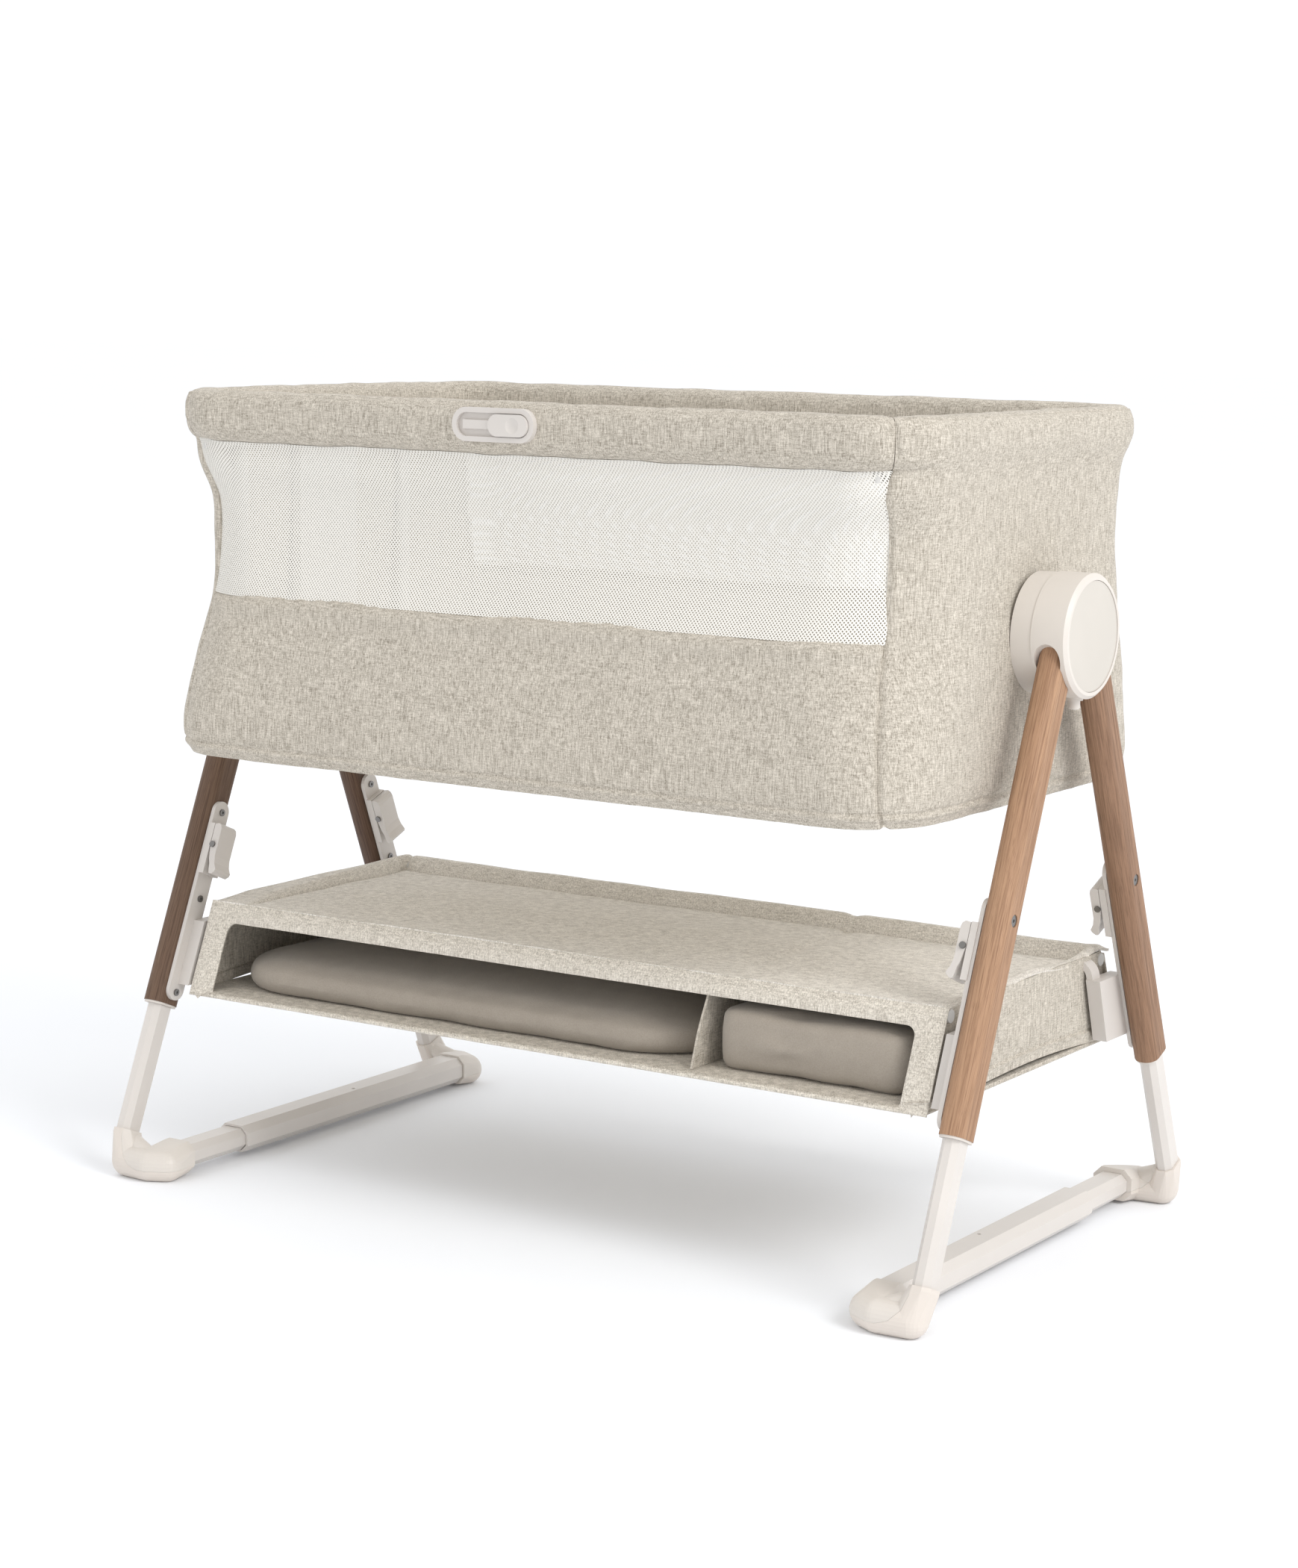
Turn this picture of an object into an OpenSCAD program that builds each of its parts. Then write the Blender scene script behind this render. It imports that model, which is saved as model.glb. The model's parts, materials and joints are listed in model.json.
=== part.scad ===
// Bedside bassinet on a telescopic stand, with a storage shelf between the legs.
// Frame: X runs along the length, -Y is the drop-side front, Z is up from the floor.

/* [Stand] */
// Distance from the middle plane to the legs of each end
leg_x = 441; // [440:0.5:446]
// Lean of each leg from the vertical, in degrees
leg_lean = 22.5; // [22.3:0.1:22.7]
// Distance from the middle plane to each leg's axis at floor level
leg_foot_y = 262; // [261:0.5:264]
// Width of a wooden leg across the stand
leg_w = 24; // [24:0.5:25]
// Depth of a wooden leg along the floor bar
leg_d = 36; // [35:0.5:37]
// Corner radius of a wooden leg
leg_r = 11; // [10:0.5:11.5]
// Height of a wooden leg's lower end
leg_end_z = 160; // [155:1:165]

/* [Pivot] */
// Height of the axis on which the crib swings
pivot_z = 570; // [568:1:574]
// Radius of the round pivot housings
hub_r = 55; // [54:0.5:58]
// Radius of the swing spindles
spindle_r = 8; // [6:0.5:9]

/* [Feet] */
// Distance from the middle plane to each floor bar
bar_x = 395; // [393:0.5:397]
// Width of a floor bar's outer sleeve
bar_w = 36; // [35:0.5:38]
// Height of a floor bar's outer sleeve
bar_h = 27; // [26:0.5:28]
// Length of the sleeve beyond the middle plane
sleeve_reach = 140; // [120:5:150]
// Width of a telescopic leg tube
tube_w = 17; // [16:0.5:17]
// Depth of a telescopic leg tube
tube_d = 25; // [24:0.5:26]
// Height where a leg tube enters its elbow
elbow_z = 42; // [40:1:44]
// Distance from the middle plane to the tip of each toe
toe_y = 271; // [269:0.5:273]

/* [Crib] */
// Half length of the crib's frame, to the middle of its tubes
frame_l = 390; // [389:0.5:391]
// Half width of the crib's frame, to the middle of its tubes
frame_w = 221; // [218:1:223]
// Corner radius of the crib's frame
frame_r = 60; // [59:0.5:61]
// Height of the padded rim's ridge
rim_z = 764; // [760:1:768]
// Height of the padded rim's lower edge
band_z = 716; // [714:1:718]
// Height where the mesh meets the lower fabric
mesh_z = 574; // [570:1:578]
// Height of the crib's underside
crib_z = 420; // [418:1:424]
// Distance from the middle plane to the corner seams
seam_x = 380; // [379:0.5:380]
// Half width of the crib at its fuller lower part
belly_w = 246; // [244:1:248]

/* [Shelf] */
// Height of the shelf's top edge
shelf_z = 262; // [260:1:264]
// Height of the shelf's underside
shelf_floor_z = 172; // [170:1:174]
// Half length of the shelf
shelf_l = 409; // [405:1:410]
// Place of the shelf's divider along the length
divider_x = 168; // [160:1:175]

/* [Latch] */
// Length of the drop side's latch plate
latch_l = 88; // [84:1:92]
// Height of the drop side's latch plate
latch_h = 30; // [29:0.5:31]
// Place of the latch plate along the rim
latch_x = -10; // [-14:1:-6]

/* [Hidden] */
$fn = 48;

gap = 0.3;                       // between pieces that move past each other
fit = 0.1;                       // round a piece set into its pocket
running = 0.06;                  // radial clearance of a pin in its bore

cos_lean = cos(leg_lean);
tan_lean = tan(leg_lean);
leg_wall = 2.3;
leg_low = leg_end_z / cos_lean;  // heights along the leg's own axis
leg_top = 606;
arch_top = 602;                  // where the housing's arch over each leg ends
leg_hollow_top = 575;
lever_pivot_at = 335.5;
lock_pin_at = 364;
lock_step = 30;
tube_low = 37;
tube_top = 500;
tube_wall = 1.8;
tube_chamfer = 5;
bush_deep = 30;
bush_lip = 2;

hub_in = 426;
hub_out = 460;
hub_bevel = 3;
cap_r = 49;
cap_sunk = 2.3;
cap_t = 1.4;
spindle_end = hub_out - 8;
button_x = 443;
button_r = 5.5;
boss_r = 8;
boss_z = pivot_z - hub_r - 2;

plate_t = 4;
plate_w = 22;
plate_low = leg_low + 5;
plate_top = 381;
plate_face = -leg_w / 2 - plate_t;
block_t = 5.5;
block_w = 24;
block_low = 306;
block_top = 357;
block_face = plate_face - block_t;
lever_t = 9.6;
lever_bore_x = block_face - 3.6;
lever_pin_r = 1.8;
ear_r = 3.6;
ear_w = 10;
screw_r = 1.6;
screw_head_r = 3.4;
screw_head_t = 1.6;
screw_places = [plate_low + 8, 281.5, plate_top - 11];
access_r = 5.5;
web_in = 412;
web_low_z = 180;
web_top_z = 240;
arm_in_r = 12;
arm_t = 6;
arm_w = 16;
arm_y = 120;

bar_z = 19.1;
bar_chamfer = 7;
bar_wall = 2.2;
bar_slack = 0.4;
tube_bar_w = bar_w - 2 * bar_wall - 2 * bar_slack;
tube_bar_h = bar_h - 2 * bar_wall - 2 * bar_slack;
tube_bar_chamfer = 6;
ring_y = 222;
bar_end_y = 234;
bar_tube_tail = 150;
sole_z = 12;
toe_r = 16;
toe_z = 15;
fillet_r = 9;
elbow_lip = 2;

rim_tube_r = 11;
rim_tube_z = 741;
low_tube_r = 9;
low_tube_z = 436;
frame_wall = 1.4;
post_r = 7;
post_x = frame_l;
post_y = 130;
peg_x = 360;
peg_y = frame_w - frame_r + sqrt(pow(frame_r, 2) - pow(peg_x - frame_l + frame_r, 2));
peg_r = 4.5;
collar_r = 9.5;
collar_z = 706;
link_t = 6;
rim_out = 18;                    // offsets from the frame's middle line
rim_in = -14;
skin_out = 14;
skin_t = 2.5;
mesh_out = 8;
mesh_t = 2;
yoke_half_w = 45;
yoke_t = 10;
yoke_boss_r = 30;
board_t = 6;
mattress_t = 48;
upright_h = rim_tube_z - rim_tube_r - low_tube_z - low_tube_r;
seam_angle = asin((seam_x - frame_l + frame_r) / (frame_r + rim_out));

shelf_edge_drop = 18;
shelf_floor_t = 6;
shelf_skin = 3;
shelf_rail_r = 6;
shelf_rail_z = 252.5;
shelf_rail_y = 149;
front_band_w = 26;
long_pad = [553, 322, 52];
short_pad = [204, 292, 60];

latch_y = frame_w + rim_out;
latch_t = 4.5;
latch_sunk = 2;
track_l = latch_l - 10;
track_h = latch_h - 9;
slider_l = 42;
slider_h = track_h - 1.4;
slider_x = latch_x + (track_l - slider_l) / 2 - 0.5;
tongue_h = 8;

// Distance of a leg's axis from the middle plane at height z
function leg_y(z) = leg_foot_y - z * tan_lean;

module corner(sx, sy)
    mirror([sx < 0 ? 1 : 0, 0, 0])
        mirror([0, sy > 0 ? 1 : 0, 0])
            children();

module side(sx)
    mirror([sx < 0 ? 1 : 0, 0, 0])
        children();

// Local Z runs up the front right leg's axis from the floor, and local X points outward
module on_leg()
    translate([leg_x, -leg_foot_y, 0])
        rotate([-leg_lean, 0, 0])
            children();

// Extrudes an outline drawn in Y and Z from x0 to x1
module along_x(x0, x1)
    translate([x0, 0, 0])
        rotate([90, 0, 90])
            linear_extrude(x1 - x0)
                children();

// Extrudes an outline drawn in X and Z from y0 to y1
module along_y(y0, y1)
    translate([0, y1, 0])
        rotate([90, 0, 0])
            linear_extrude(y1 - y0)
                children();

module rod_x(r, x0, x1)
    translate([x0, 0, 0])
        rotate([0, 90, 0])
            cylinder(r = r, h = x1 - x0);

module rod_y(r, y0, y1)
    translate([0, y0, 0])
        rotate([-90, 0, 0])
            cylinder(r = r, h = y1 - y0);

module round_rect(half_x, half_y, r) {
    square([2 * half_x - 2 * r, 2 * half_y], center = true);
    square([2 * half_x, 2 * half_y - 2 * r], center = true);
    for (sx = [-1, 1], sy = [-1, 1])
        translate([sx * (half_x - r), sy * (half_y - r)])
            circle(r);
}

module chamfer_rect(w, h, c)
    polygon([
        [-w / 2 + c, -h / 2], [w / 2 - c, -h / 2], [w / 2, -h / 2 + c], [w / 2, h / 2 - c],
        [w / 2 - c, h / 2], [-w / 2 + c, h / 2], [-w / 2, h / 2 - c], [-w / 2, -h / 2 + c]
    ]);

module stadium(l, h) {
    square([l - h, h], center = true);
    for (sx = [-1, 1])
        translate([sx * (l - h) / 2, 0])
            circle(h / 2);
}

// ---- Wooden legs -------------------------------------------------------------

module leg_section(grow = 0)
    round_rect(leg_w / 2 + grow, leg_d / 2 + grow, leg_r + grow);

module leg(sx, sy)
    color("peru")
    corner(sx, sy)
    on_leg()
    difference() {
        translate([0, 0, leg_low])
            linear_extrude(leg_top - leg_low)
                leg_section();
        translate([0, 0, leg_low - 1])
            linear_extrude(leg_hollow_top - leg_low + 1)
                leg_section(-leg_wall);
        translate([0, 0, lock_pin_at])
            rod_x(access_r, 0, leg_w);
        for (at = screw_places)
            translate([0, 0, at])
                rod_x(screw_r + fit, -leg_w, 0);
    }

module leg_bush()
    on_leg()
    difference() {
        union() {
            translate([0, 0, leg_low - bush_lip])
                linear_extrude(bush_lip)
                    leg_section(-0.8);
            translate([0, 0, leg_low - fit])
                linear_extrude(bush_deep)
                    leg_section(-leg_wall - fit);
        }
        translate([0, 0, leg_low - bush_lip - 1])
            linear_extrude(bush_deep + bush_lip + 2)
                chamfer_rect(tube_w + 2 * gap, tube_d + 2 * gap, tube_chamfer);
        translate([0, 0, screw_places[0]])
            rod_x(screw_r + fit, -leg_w, 0);
    }

module leg_bushes()
    color("ivory")
    for (sx = [-1, 1], sy = [-1, 1])
        corner(sx, sy)
            leg_bush();

// ---- Pivot housings ----------------------------------------------------------

module at_pivot()
    translate([0, 0, pivot_z])
        children();

module hub(sx)
    color("ivory")
    side(sx)
    difference() {
        union() {
            at_pivot()
                rod_x(hub_r, hub_in, hub_out - hub_bevel);
            translate([hub_out - hub_bevel, 0, pivot_z])
                rotate([0, 90, 0])
                    cylinder(r1 = hub_r, r2 = hub_r - hub_bevel, h = hub_bevel);
            translate([button_x, 0, boss_z])
                cylinder(r = boss_r, h = 20);
        }
        at_pivot()
            rod_x(cap_r, hub_out - cap_sunk, hub_out + 1);
        at_pivot()
            rod_x(spindle_r + running, hub_in - 1, spindle_end);
        translate([button_x, 0, boss_z - 1])
            cylinder(r = button_r + gap, h = 24);
        for (sy = [-1, 1])
            corner(1, sy)
                on_leg()
                    translate([0, 0, leg_top - 150])
                        linear_extrude(150 + fit)
                            leg_section(fit);
        for (sy = [-1, 1])
            corner(1, sy)
                on_leg()
                    translate([0, 0, arch_top - leg_w / 2])
                        rod_y(leg_w / 2 + gap, -60, leg_r - leg_d / 2);
    }

module hub_cap(sx)
    color("ivory")
    side(sx)
    at_pivot()
    rod_x(cap_r - gap, hub_out - cap_sunk + fit, hub_out - cap_sunk + fit + cap_t);

module swing_button(sx)
    color("ivory")
    side(sx)
    translate([button_x, 0, boss_z - 8]) {
        cylinder(r1 = button_r - 1, r2 = button_r, h = 1.5);
        translate([0, 0, 1.5])
            cylinder(r = button_r, h = 22);
    }

module swing_disc(sx)
    color("ivory")
    side(sx)
    at_pivot() {
        rod_x(hub_r - 1, frame_l + skin_out + 2, hub_in - gap);
        rod_x(spindle_r, hub_in - 1, spindle_end - 1);
        rod_x(yoke_boss_r, frame_l + yoke_t / 2, frame_l + skin_out + 3);
    }

// ---- Height brackets and levers ----------------------------------------------

module bracket(sx, sy)
    color("lightgrey")
    corner(sx, sy)
    difference() {
        union() {
            on_leg()
                bracket_on_leg();
            along_x(web_in, leg_x + plate_face + 1)
                polygon([
                    [-leg_y(web_low_z), web_low_z], [57 - leg_y(web_low_z), web_low_z],
                    [52 - leg_y(web_top_z), web_top_z], [-leg_y(web_top_z), web_top_z]
                ]);
            translate([web_in - arm_in_r, -arm_y, web_top_z])
                rotate([90, 0, 0])
                    rotate_extrude(angle = 90)
                        translate([arm_in_r, -arm_w / 2])
                            square([arm_t, arm_w]);
        }
        on_leg()
            for (at = screw_places)
                translate([0, 0, at])
                    rod_x(screw_r + fit, plate_face - 20, 0);
        on_leg()
            translate([0, 0, screw_places[0]])
                rod_x(screw_head_r + fit, plate_face - 20, plate_face);
    }

module bracket_on_leg()
    difference() {
        union() {
            along_x(plate_face, -leg_w / 2)
                translate([0, (plate_low + plate_top) / 2])
                    rotate(90)
                        stadium(plate_top - plate_low, plate_w);
            along_x(block_face, plate_face + 1)
                translate([0, (block_low + block_top) / 2])
                    square([block_w, block_top - block_low], center = true);
            along_y(-ear_w / 2, ear_w / 2) {
                translate([lever_bore_x, lever_pivot_at - ear_r])
                    square([block_face - lever_bore_x + 1, 2 * ear_r]);
                translate([lever_bore_x, lever_pivot_at])
                    circle(ear_r);
            }
        }
        translate([lever_bore_x, 0, lever_pivot_at])
            rod_y(lever_pin_r + running, -ear_w, ear_w);
        translate([0, 0, screw_places[2]])
            rod_x(screw_head_r + gap, plate_face - 20, plate_face);
    }

module lever(sx, sy)
    color("gainsboro")
    corner(sx, sy)
    on_leg()
    translate([block_face, 0, 0])
    difference() {
        along_y(-block_w / 2, block_w / 2)
            polygon([
                [-0.6, 356.4], [-5.6, 357.2], [-8.4, 355.2], [-lever_t, 351.5], [-lever_t, 324.4],
                [-11.2, 317.1], [-14.4, 311.3], [-13.6, 308.9], [-10, 306], [-7.2, 306.4],
                [-6, 310.5], [-5.2, 316.2], [-3.2, 321.1], [-0.6, 336]
            ]);
        translate([-lever_t + 1.9, -ear_w / 2 - 0.6, 326])
            cube([lever_t, ear_w + 1.2, 20]);
        translate([lever_bore_x - block_face, 0, lever_pivot_at])
            rod_y(lever_pin_r + running, -block_w, block_w);
    }

module plate_screw()
    translate([plate_face, 0, 0]) {
        difference() {
            rod_x(screw_head_r, -screw_head_t, 0);
            rod_x(1.5, -screw_head_t - 1, -0.6, $fn = 6);
        }
        rod_x(screw_r, -0.5, plate_t + leg_wall - fit);
    }

module lever_pin()
    translate([lever_bore_x, 0, lever_pivot_at]) {
        rod_y(lever_pin_r, -block_w / 2 - 1, block_w / 2 + 1);
        for (s = [0, 1])
            mirror([0, s, 0])
                rod_y(3.1, block_w / 2 + gap, block_w / 2 + 1.7);
    }

module access_screw()
    difference() {
        rod_x(access_r - gap, leg_w / 2 - leg_wall + 0.2, leg_w / 2 - 0.8);
        rod_x(1.6, leg_w / 2 - 1.4, leg_w / 2, $fn = 6);
    }

module stand_fasteners()
    color("silver")
    for (sx = [-1, 1], sy = [-1, 1])
        corner(sx, sy)
            on_leg() {
                for (at = screw_places)
                    translate([0, 0, at])
                        plate_screw();
                lever_pin();
                translate([0, 0, lock_pin_at])
                    access_screw();
            }

// ---- Telescopic legs, elbows and floor bars ----------------------------------

module leg_tube(sx, sy)
    color("linen")
    corner(sx, sy)
    on_leg()
    difference() {
        translate([0, 0, tube_low])
            linear_extrude(tube_top - tube_low)
                chamfer_rect(tube_w, tube_d, tube_chamfer);
        translate([0, 0, tube_low - 1])
            linear_extrude(tube_top - tube_low + 2)
                chamfer_rect(tube_w - 2 * tube_wall, tube_d - 2 * tube_wall, tube_chamfer - 0.8);
        for (step = [-2 : 3])
            translate([0, 0, lock_pin_at + step * lock_step])
                rod_x(3.2, -tube_w, 0);
    }

module sleeve_section(grow = 0)
    chamfer_rect(bar_w + 2 * grow, bar_h + 2 * grow, bar_chamfer);

module tube_section(grow = 0)
    chamfer_rect(tube_bar_w + 2 * grow, tube_bar_h + 2 * grow, tube_bar_chamfer);

module toe_ball(x, back, r = toe_r)
    translate([x, toe_r + back - toe_y, toe_z])
        sphere(r, $fn = 28);

// The whole foot of the front right corner, before it is parted into elbow and sole
module foot_shape() {
    hull() {
        translate([bar_x, 0, bar_z])
            along_y(-ring_y - 6, -ring_y)
                chamfer_rect(bar_w + 2 * elbow_lip, bar_h + 2 * elbow_lip, bar_chamfer + 1);
        toe_ball(bar_x - 6, 8);
        toe_ball(bar_x + 9, 0);
    }
    hull() {
        toe_ball(bar_x - 6, 8);
        toe_ball(bar_x + 9, 0);
        toe_ball(leg_x - 8, 2);
    }
    hull() {
        toe_ball(leg_x - 8, 2);
        on_leg()
            translate([0, 0, elbow_z / cos_lean - 4])
                linear_extrude(4)
                    chamfer_rect(tube_w + 2 * elbow_lip, tube_d + 2 * elbow_lip, tube_chamfer + 1);
    }
    hull() {
        toe_ball(bar_x + 11, 2, toe_r - 2);
        translate([leg_x - 8, toe_r + 10 - toe_y, toe_z + toe_r])
            sphere(fillet_r, $fn = 24);
    }
}

// The lower outer half of that foot: the line where it is parted sweeps up to the tube's collar
module outer_half(grow = 0)
    along_y(-toe_y - 20, 100 - toe_y)
        translate([-grow, grow])
            polygon([
                [bar_x - 60, -50], [bar_x - 60, sole_z], [bar_x + 13, sole_z],
                [leg_x - 21, sole_z + 4], [leg_x - 11, sole_z + 14], [leg_x - 6, elbow_z - 3],
                [leg_x - 5, elbow_z + 20], [leg_x + 60, elbow_z + 20], [leg_x + 60, -50]
            ]);

// The front feet of the right end and the rear feet of the left end hold the sleeves
function holds_sleeve(sx, sy) = sx * sy < 0;

module foot_pockets(sx, sy) {
    translate([bar_x, 0, bar_z])
        along_y(-bar_end_y - fit, 0)
            if (holds_sleeve(sx, sy))
                sleeve_section(fit);
            else
                tube_section(fit);
    on_leg()
        translate([0, 0, tube_low - fit])
            linear_extrude(60)
                chamfer_rect(tube_w + 2 * fit, tube_d + 2 * fit, tube_chamfer);
}

module elbow(sx, sy)
    color("ivory")
    corner(sx, sy)
    difference() {
        foot_shape();
        foot_pockets(sx, sy);
        outer_half(fit);
    }

module sole(sx, sy)
    color("lightgrey")
    corner(sx, sy)
    difference() {
        intersection() {
            foot_shape();
            outer_half();
        }
        foot_pockets(sx, sy);
        translate([leg_x - 100, -toe_y - 20, -50])
            cube([200, 120, 50]);
    }

module turned(sx)
    rotate([0, 0, sx < 0 ? 180 : 0])
        children();

module bar_sleeve(sx)
    color("linen")
    turned(sx)
    difference() {
        translate([bar_x, 0, bar_z])
            along_y(-bar_end_y, sleeve_reach)
                sleeve_section();
        translate([bar_x, 0, bar_z])
            along_y(-bar_end_y - 1, sleeve_reach + 1)
                chamfer_rect(bar_w - 2 * bar_wall, bar_h - 2 * bar_wall, bar_chamfer - 1.2);
        translate([bar_x - 5, -47, bar_z])
            cylinder(r = 2, h = bar_h);
    }

module bar_tube(sx)
    color("linen")
    turned(sx)
    translate([bar_x, 0, bar_z])
    difference() {
        along_y(-bar_tube_tail, bar_end_y)
            tube_section();
        along_y(-bar_tube_tail - 1, bar_end_y + 1)
            tube_section(-tube_wall);
    }

// ---- Crib frame --------------------------------------------------------------

module frame_corner(r)
    rotate_extrude(angle = 90)
        translate([frame_r, 0])
            circle(r);

// A closed tube along the frame's middle line, at height 0
module frame_ring(r) {
    for (sy = [-1, 1])
        translate([0, sy * frame_w, 0])
            rod_x(r, frame_r - frame_l, frame_l - frame_r);
    for (sx = [-1, 1])
        translate([sx * frame_l, 0, 0])
            rod_y(r, frame_r - frame_w, frame_w - frame_r);
    for (quarter = [0 : 3])
        let (sx = quarter == 0 || quarter == 3 ? 1 : -1, sy = quarter < 2 ? 1 : -1)
            translate([sx * (frame_l - frame_r), sy * (frame_w - frame_r), 0])
                rotate([0, 0, 90 * quarter])
                    frame_corner(r);
}

module hollow_ring(r)
    difference() {
        frame_ring(r);
        frame_ring(r - frame_wall);
    }

// The wedge in front of the crib whose slanted sides cut the rim square across at its corner seams
module drop_side_space(slack)
    translate([0, frame_r - frame_w, crib_z - 50])
        linear_extrude(500)
            polygon([
                [frame_r - frame_l - slack, 0], [frame_l - frame_r + slack, 0],
                [frame_l - frame_r + slack + 200 * sin(seam_angle), -200 * cos(seam_angle)],
                [frame_r - frame_l - slack - 200 * sin(seam_angle), -200 * cos(seam_angle)]
            ]);

module lower_frame()
    color("dimgray")
    translate([0, 0, low_tube_z])
    hollow_ring(low_tube_r);

module rim_rail()
    color("dimgray")
    difference() {
        translate([0, 0, rim_tube_z])
            hollow_ring(rim_tube_r);
        drop_side_space(gap);
    }

module post_shapes(grow = 0)
    for (sx = [-1, 1], sy = [-1, 1])
        translate([sx * post_x, sy * post_y, low_tube_z + low_tube_r])
            cylinder(r = post_r + grow, h = upright_h);

module yoke_shapes(grow = 0)
    for (sx = [0, 1])
        mirror([sx, 0, 0])
            translate([frame_l - yoke_t / 2 - grow, -yoke_half_w - grow, low_tube_z + low_tube_r])
                cube([yoke_t + 2 * grow, 2 * (yoke_half_w + grow), upright_h]);

module corner_posts()
    color("dimgray")
    post_shapes();

module end_yokes()
    color("dimgray")
    yoke_shapes();

module drop_rail()
    color("dimgray")
    difference() {
        union() {
            intersection() {
                translate([0, 0, rim_tube_z])
                    frame_ring(rim_tube_r);
                drop_side_space(-4);
            }
            for (sx = [-1, 1])
                side(sx)
                    drop_rail_link();
        }
        translate([0, -frame_w, rim_tube_z])
            rod_x(rim_tube_r - frame_wall, frame_r - frame_l, frame_l - frame_r);
        for (sx = [-1, 1])
            translate([sx * post_x, -post_y, collar_z - 1])
                cylinder(r = post_r + running, h = 40);
    }

// Joins the drop rail to the collar that slides on a front post
module drop_rail_link() {
    translate([peg_x, -peg_y, collar_z + 2])
        cylinder(r = peg_r, h = rim_tube_z - rim_tube_r - collar_z + 1);
    translate([peg_x, -peg_y, collar_z + 2])
        rotate([0, 0, atan2(peg_y - post_y, post_x - peg_x)])
            translate([0, -peg_r, 0])
                cube([norm([peg_y - post_y, post_x - peg_x]), 2 * peg_r, link_t]);
    translate([post_x, -post_y, collar_z])
        cylinder(r = collar_r, h = link_t + 2.5);
}

module mattress_board()
    color("burlywood")
    translate([0, 0, low_tube_z + low_tube_r])
    linear_extrude(board_t)
    round_rect(frame_l - 26, frame_w + 7, frame_r);

module mattress()
    color("whitesmoke")
    translate([0, 0, low_tube_z + low_tube_r + board_t])
    linear_extrude(mattress_t)
    round_rect(frame_l - 16, frame_w + 9, frame_r);

// ---- Crib fabric -------------------------------------------------------------

module frame_plan(grow)
    round_rect(frame_l + grow, frame_w + grow, frame_r + grow);

module fabric_ring(out, in, z0, z1)
    translate([0, 0, z0])
        linear_extrude(z1 - z0)
            difference() {
                frame_plan(out);
                frame_plan(in);
            }

module belly_ring()
    translate([0, 0, crib_z])
        linear_extrude(mesh_z - crib_z)
            difference() {
                round_rect(frame_l + skin_out, belly_w, frame_r + skin_out);
                round_rect(frame_l + skin_out - skin_t, belly_w - skin_t, frame_r + skin_out - skin_t);
            }

// The slice of the crib between the front and rear corner seams
module between_seams(half_x)
    translate([-half_x, -400, 0])
        cube([2 * half_x, 800, 1000]);

module rim_roll()
    difference() {
        fabric_ring(rim_out, rim_in, band_z, rim_z);
        translate([0, 0, rim_tube_z])
            frame_ring(rim_tube_r + fit);
    }

module rim_cover()
    color("tan")
    difference() {
        rim_roll();
        drop_side_space(gap);
        post_shapes(fit);
        yoke_shapes(fit);
    }

module drop_rail_cover()
    color("tan")
    difference() {
        intersection() {
            rim_roll();
            drop_side_space(-gap);
        }
        for (sx = [-1, 1])
            translate([sx * peg_x, -peg_y, band_z - 1])
                cylinder(r = peg_r + fit, h = rim_tube_z - band_z);
        translate([latch_x, 0, rim_tube_z + 2])
            along_y(-latch_y - 1, -latch_y + latch_sunk + fit)
                stadium(latch_l + 2 * fit, latch_h + 2 * fit);
    }

module end_panel(sx)
    color("tan")
    side(sx)
    difference() {
        union() {
            fabric_ring(skin_out, skin_out - skin_t, mesh_z - 1, band_z - gap);
            belly_ring();
        }
        between_seams(seam_x);
        translate([-600, -400, 0])
            cube([600, 800, 1000]);
        at_pivot()
            rod_x(yoke_boss_r + gap, frame_l, frame_l + 40);
    }

module mesh_rear()
    color("lightgray")
    intersection() {
        fabric_ring(mesh_out, mesh_out - mesh_t, mesh_z, band_z);
        translate([-seam_x, 0, 0])
            cube([2 * seam_x, 400, 1000]);
    }

module mesh_front()
    color("lightgray")
    intersection() {
        fabric_ring(mesh_out, mesh_out - mesh_t, mesh_z, band_z - gap);
        translate([-seam_x, -400, 0])
            cube([2 * seam_x, 400, 1000]);
    }

module lower_panels()
    color("tan") {
        intersection() {
            belly_ring();
            between_seams(seam_x - fit);
        }
        translate([0, 0, crib_z])
            linear_extrude(skin_t)
                round_rect(
                    frame_l + skin_out - skin_t - fit, belly_w - skin_t - fit, frame_r + skin_out - skin_t
                );
    }

// ---- Drop side latch ---------------------------------------------------------

module at_latch(x)
    translate([x, -latch_y, rim_tube_z + 2])
        children();

module latch_plate()
    color("gainsboro")
    at_latch(latch_x) {
        difference() {
            along_y(-latch_t, latch_sunk)
                stadium(latch_l, latch_h);
            along_y(-latch_t - 1, -0.5)
                stadium(track_l, track_h);
        }
        translate([-track_l / 2 + 6, -3.3, -tongue_h / 2])
            cube([track_l - 24, 3.3, tongue_h]);
    }

module latch_slider()
    color("gainsboro")
    at_latch(slider_x)
    difference() {
        along_y(-latch_t - 2.5, -0.5 - gap)
            stadium(slider_l, slider_h);
        translate([-slider_l, -3.3 - gap, -tongue_h / 2 - gap])
            cube([2 * slider_l, 10, tongue_h + 2 * gap]);
        translate([5, -latch_t - 2.5 - 11, 0])
            sphere(13);
    }

// ---- Shelf -------------------------------------------------------------------

shelf_join_z = shelf_z - shelf_edge_drop;
shelf_base_z = shelf_floor_z + shelf_floor_t;

module shelf_rails()
    color("dimgray")
    for (sy = [-1, 1])
        translate([0, sy * shelf_rail_y, shelf_rail_z])
            rod_x(shelf_rail_r, -shelf_l, shelf_l);

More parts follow.
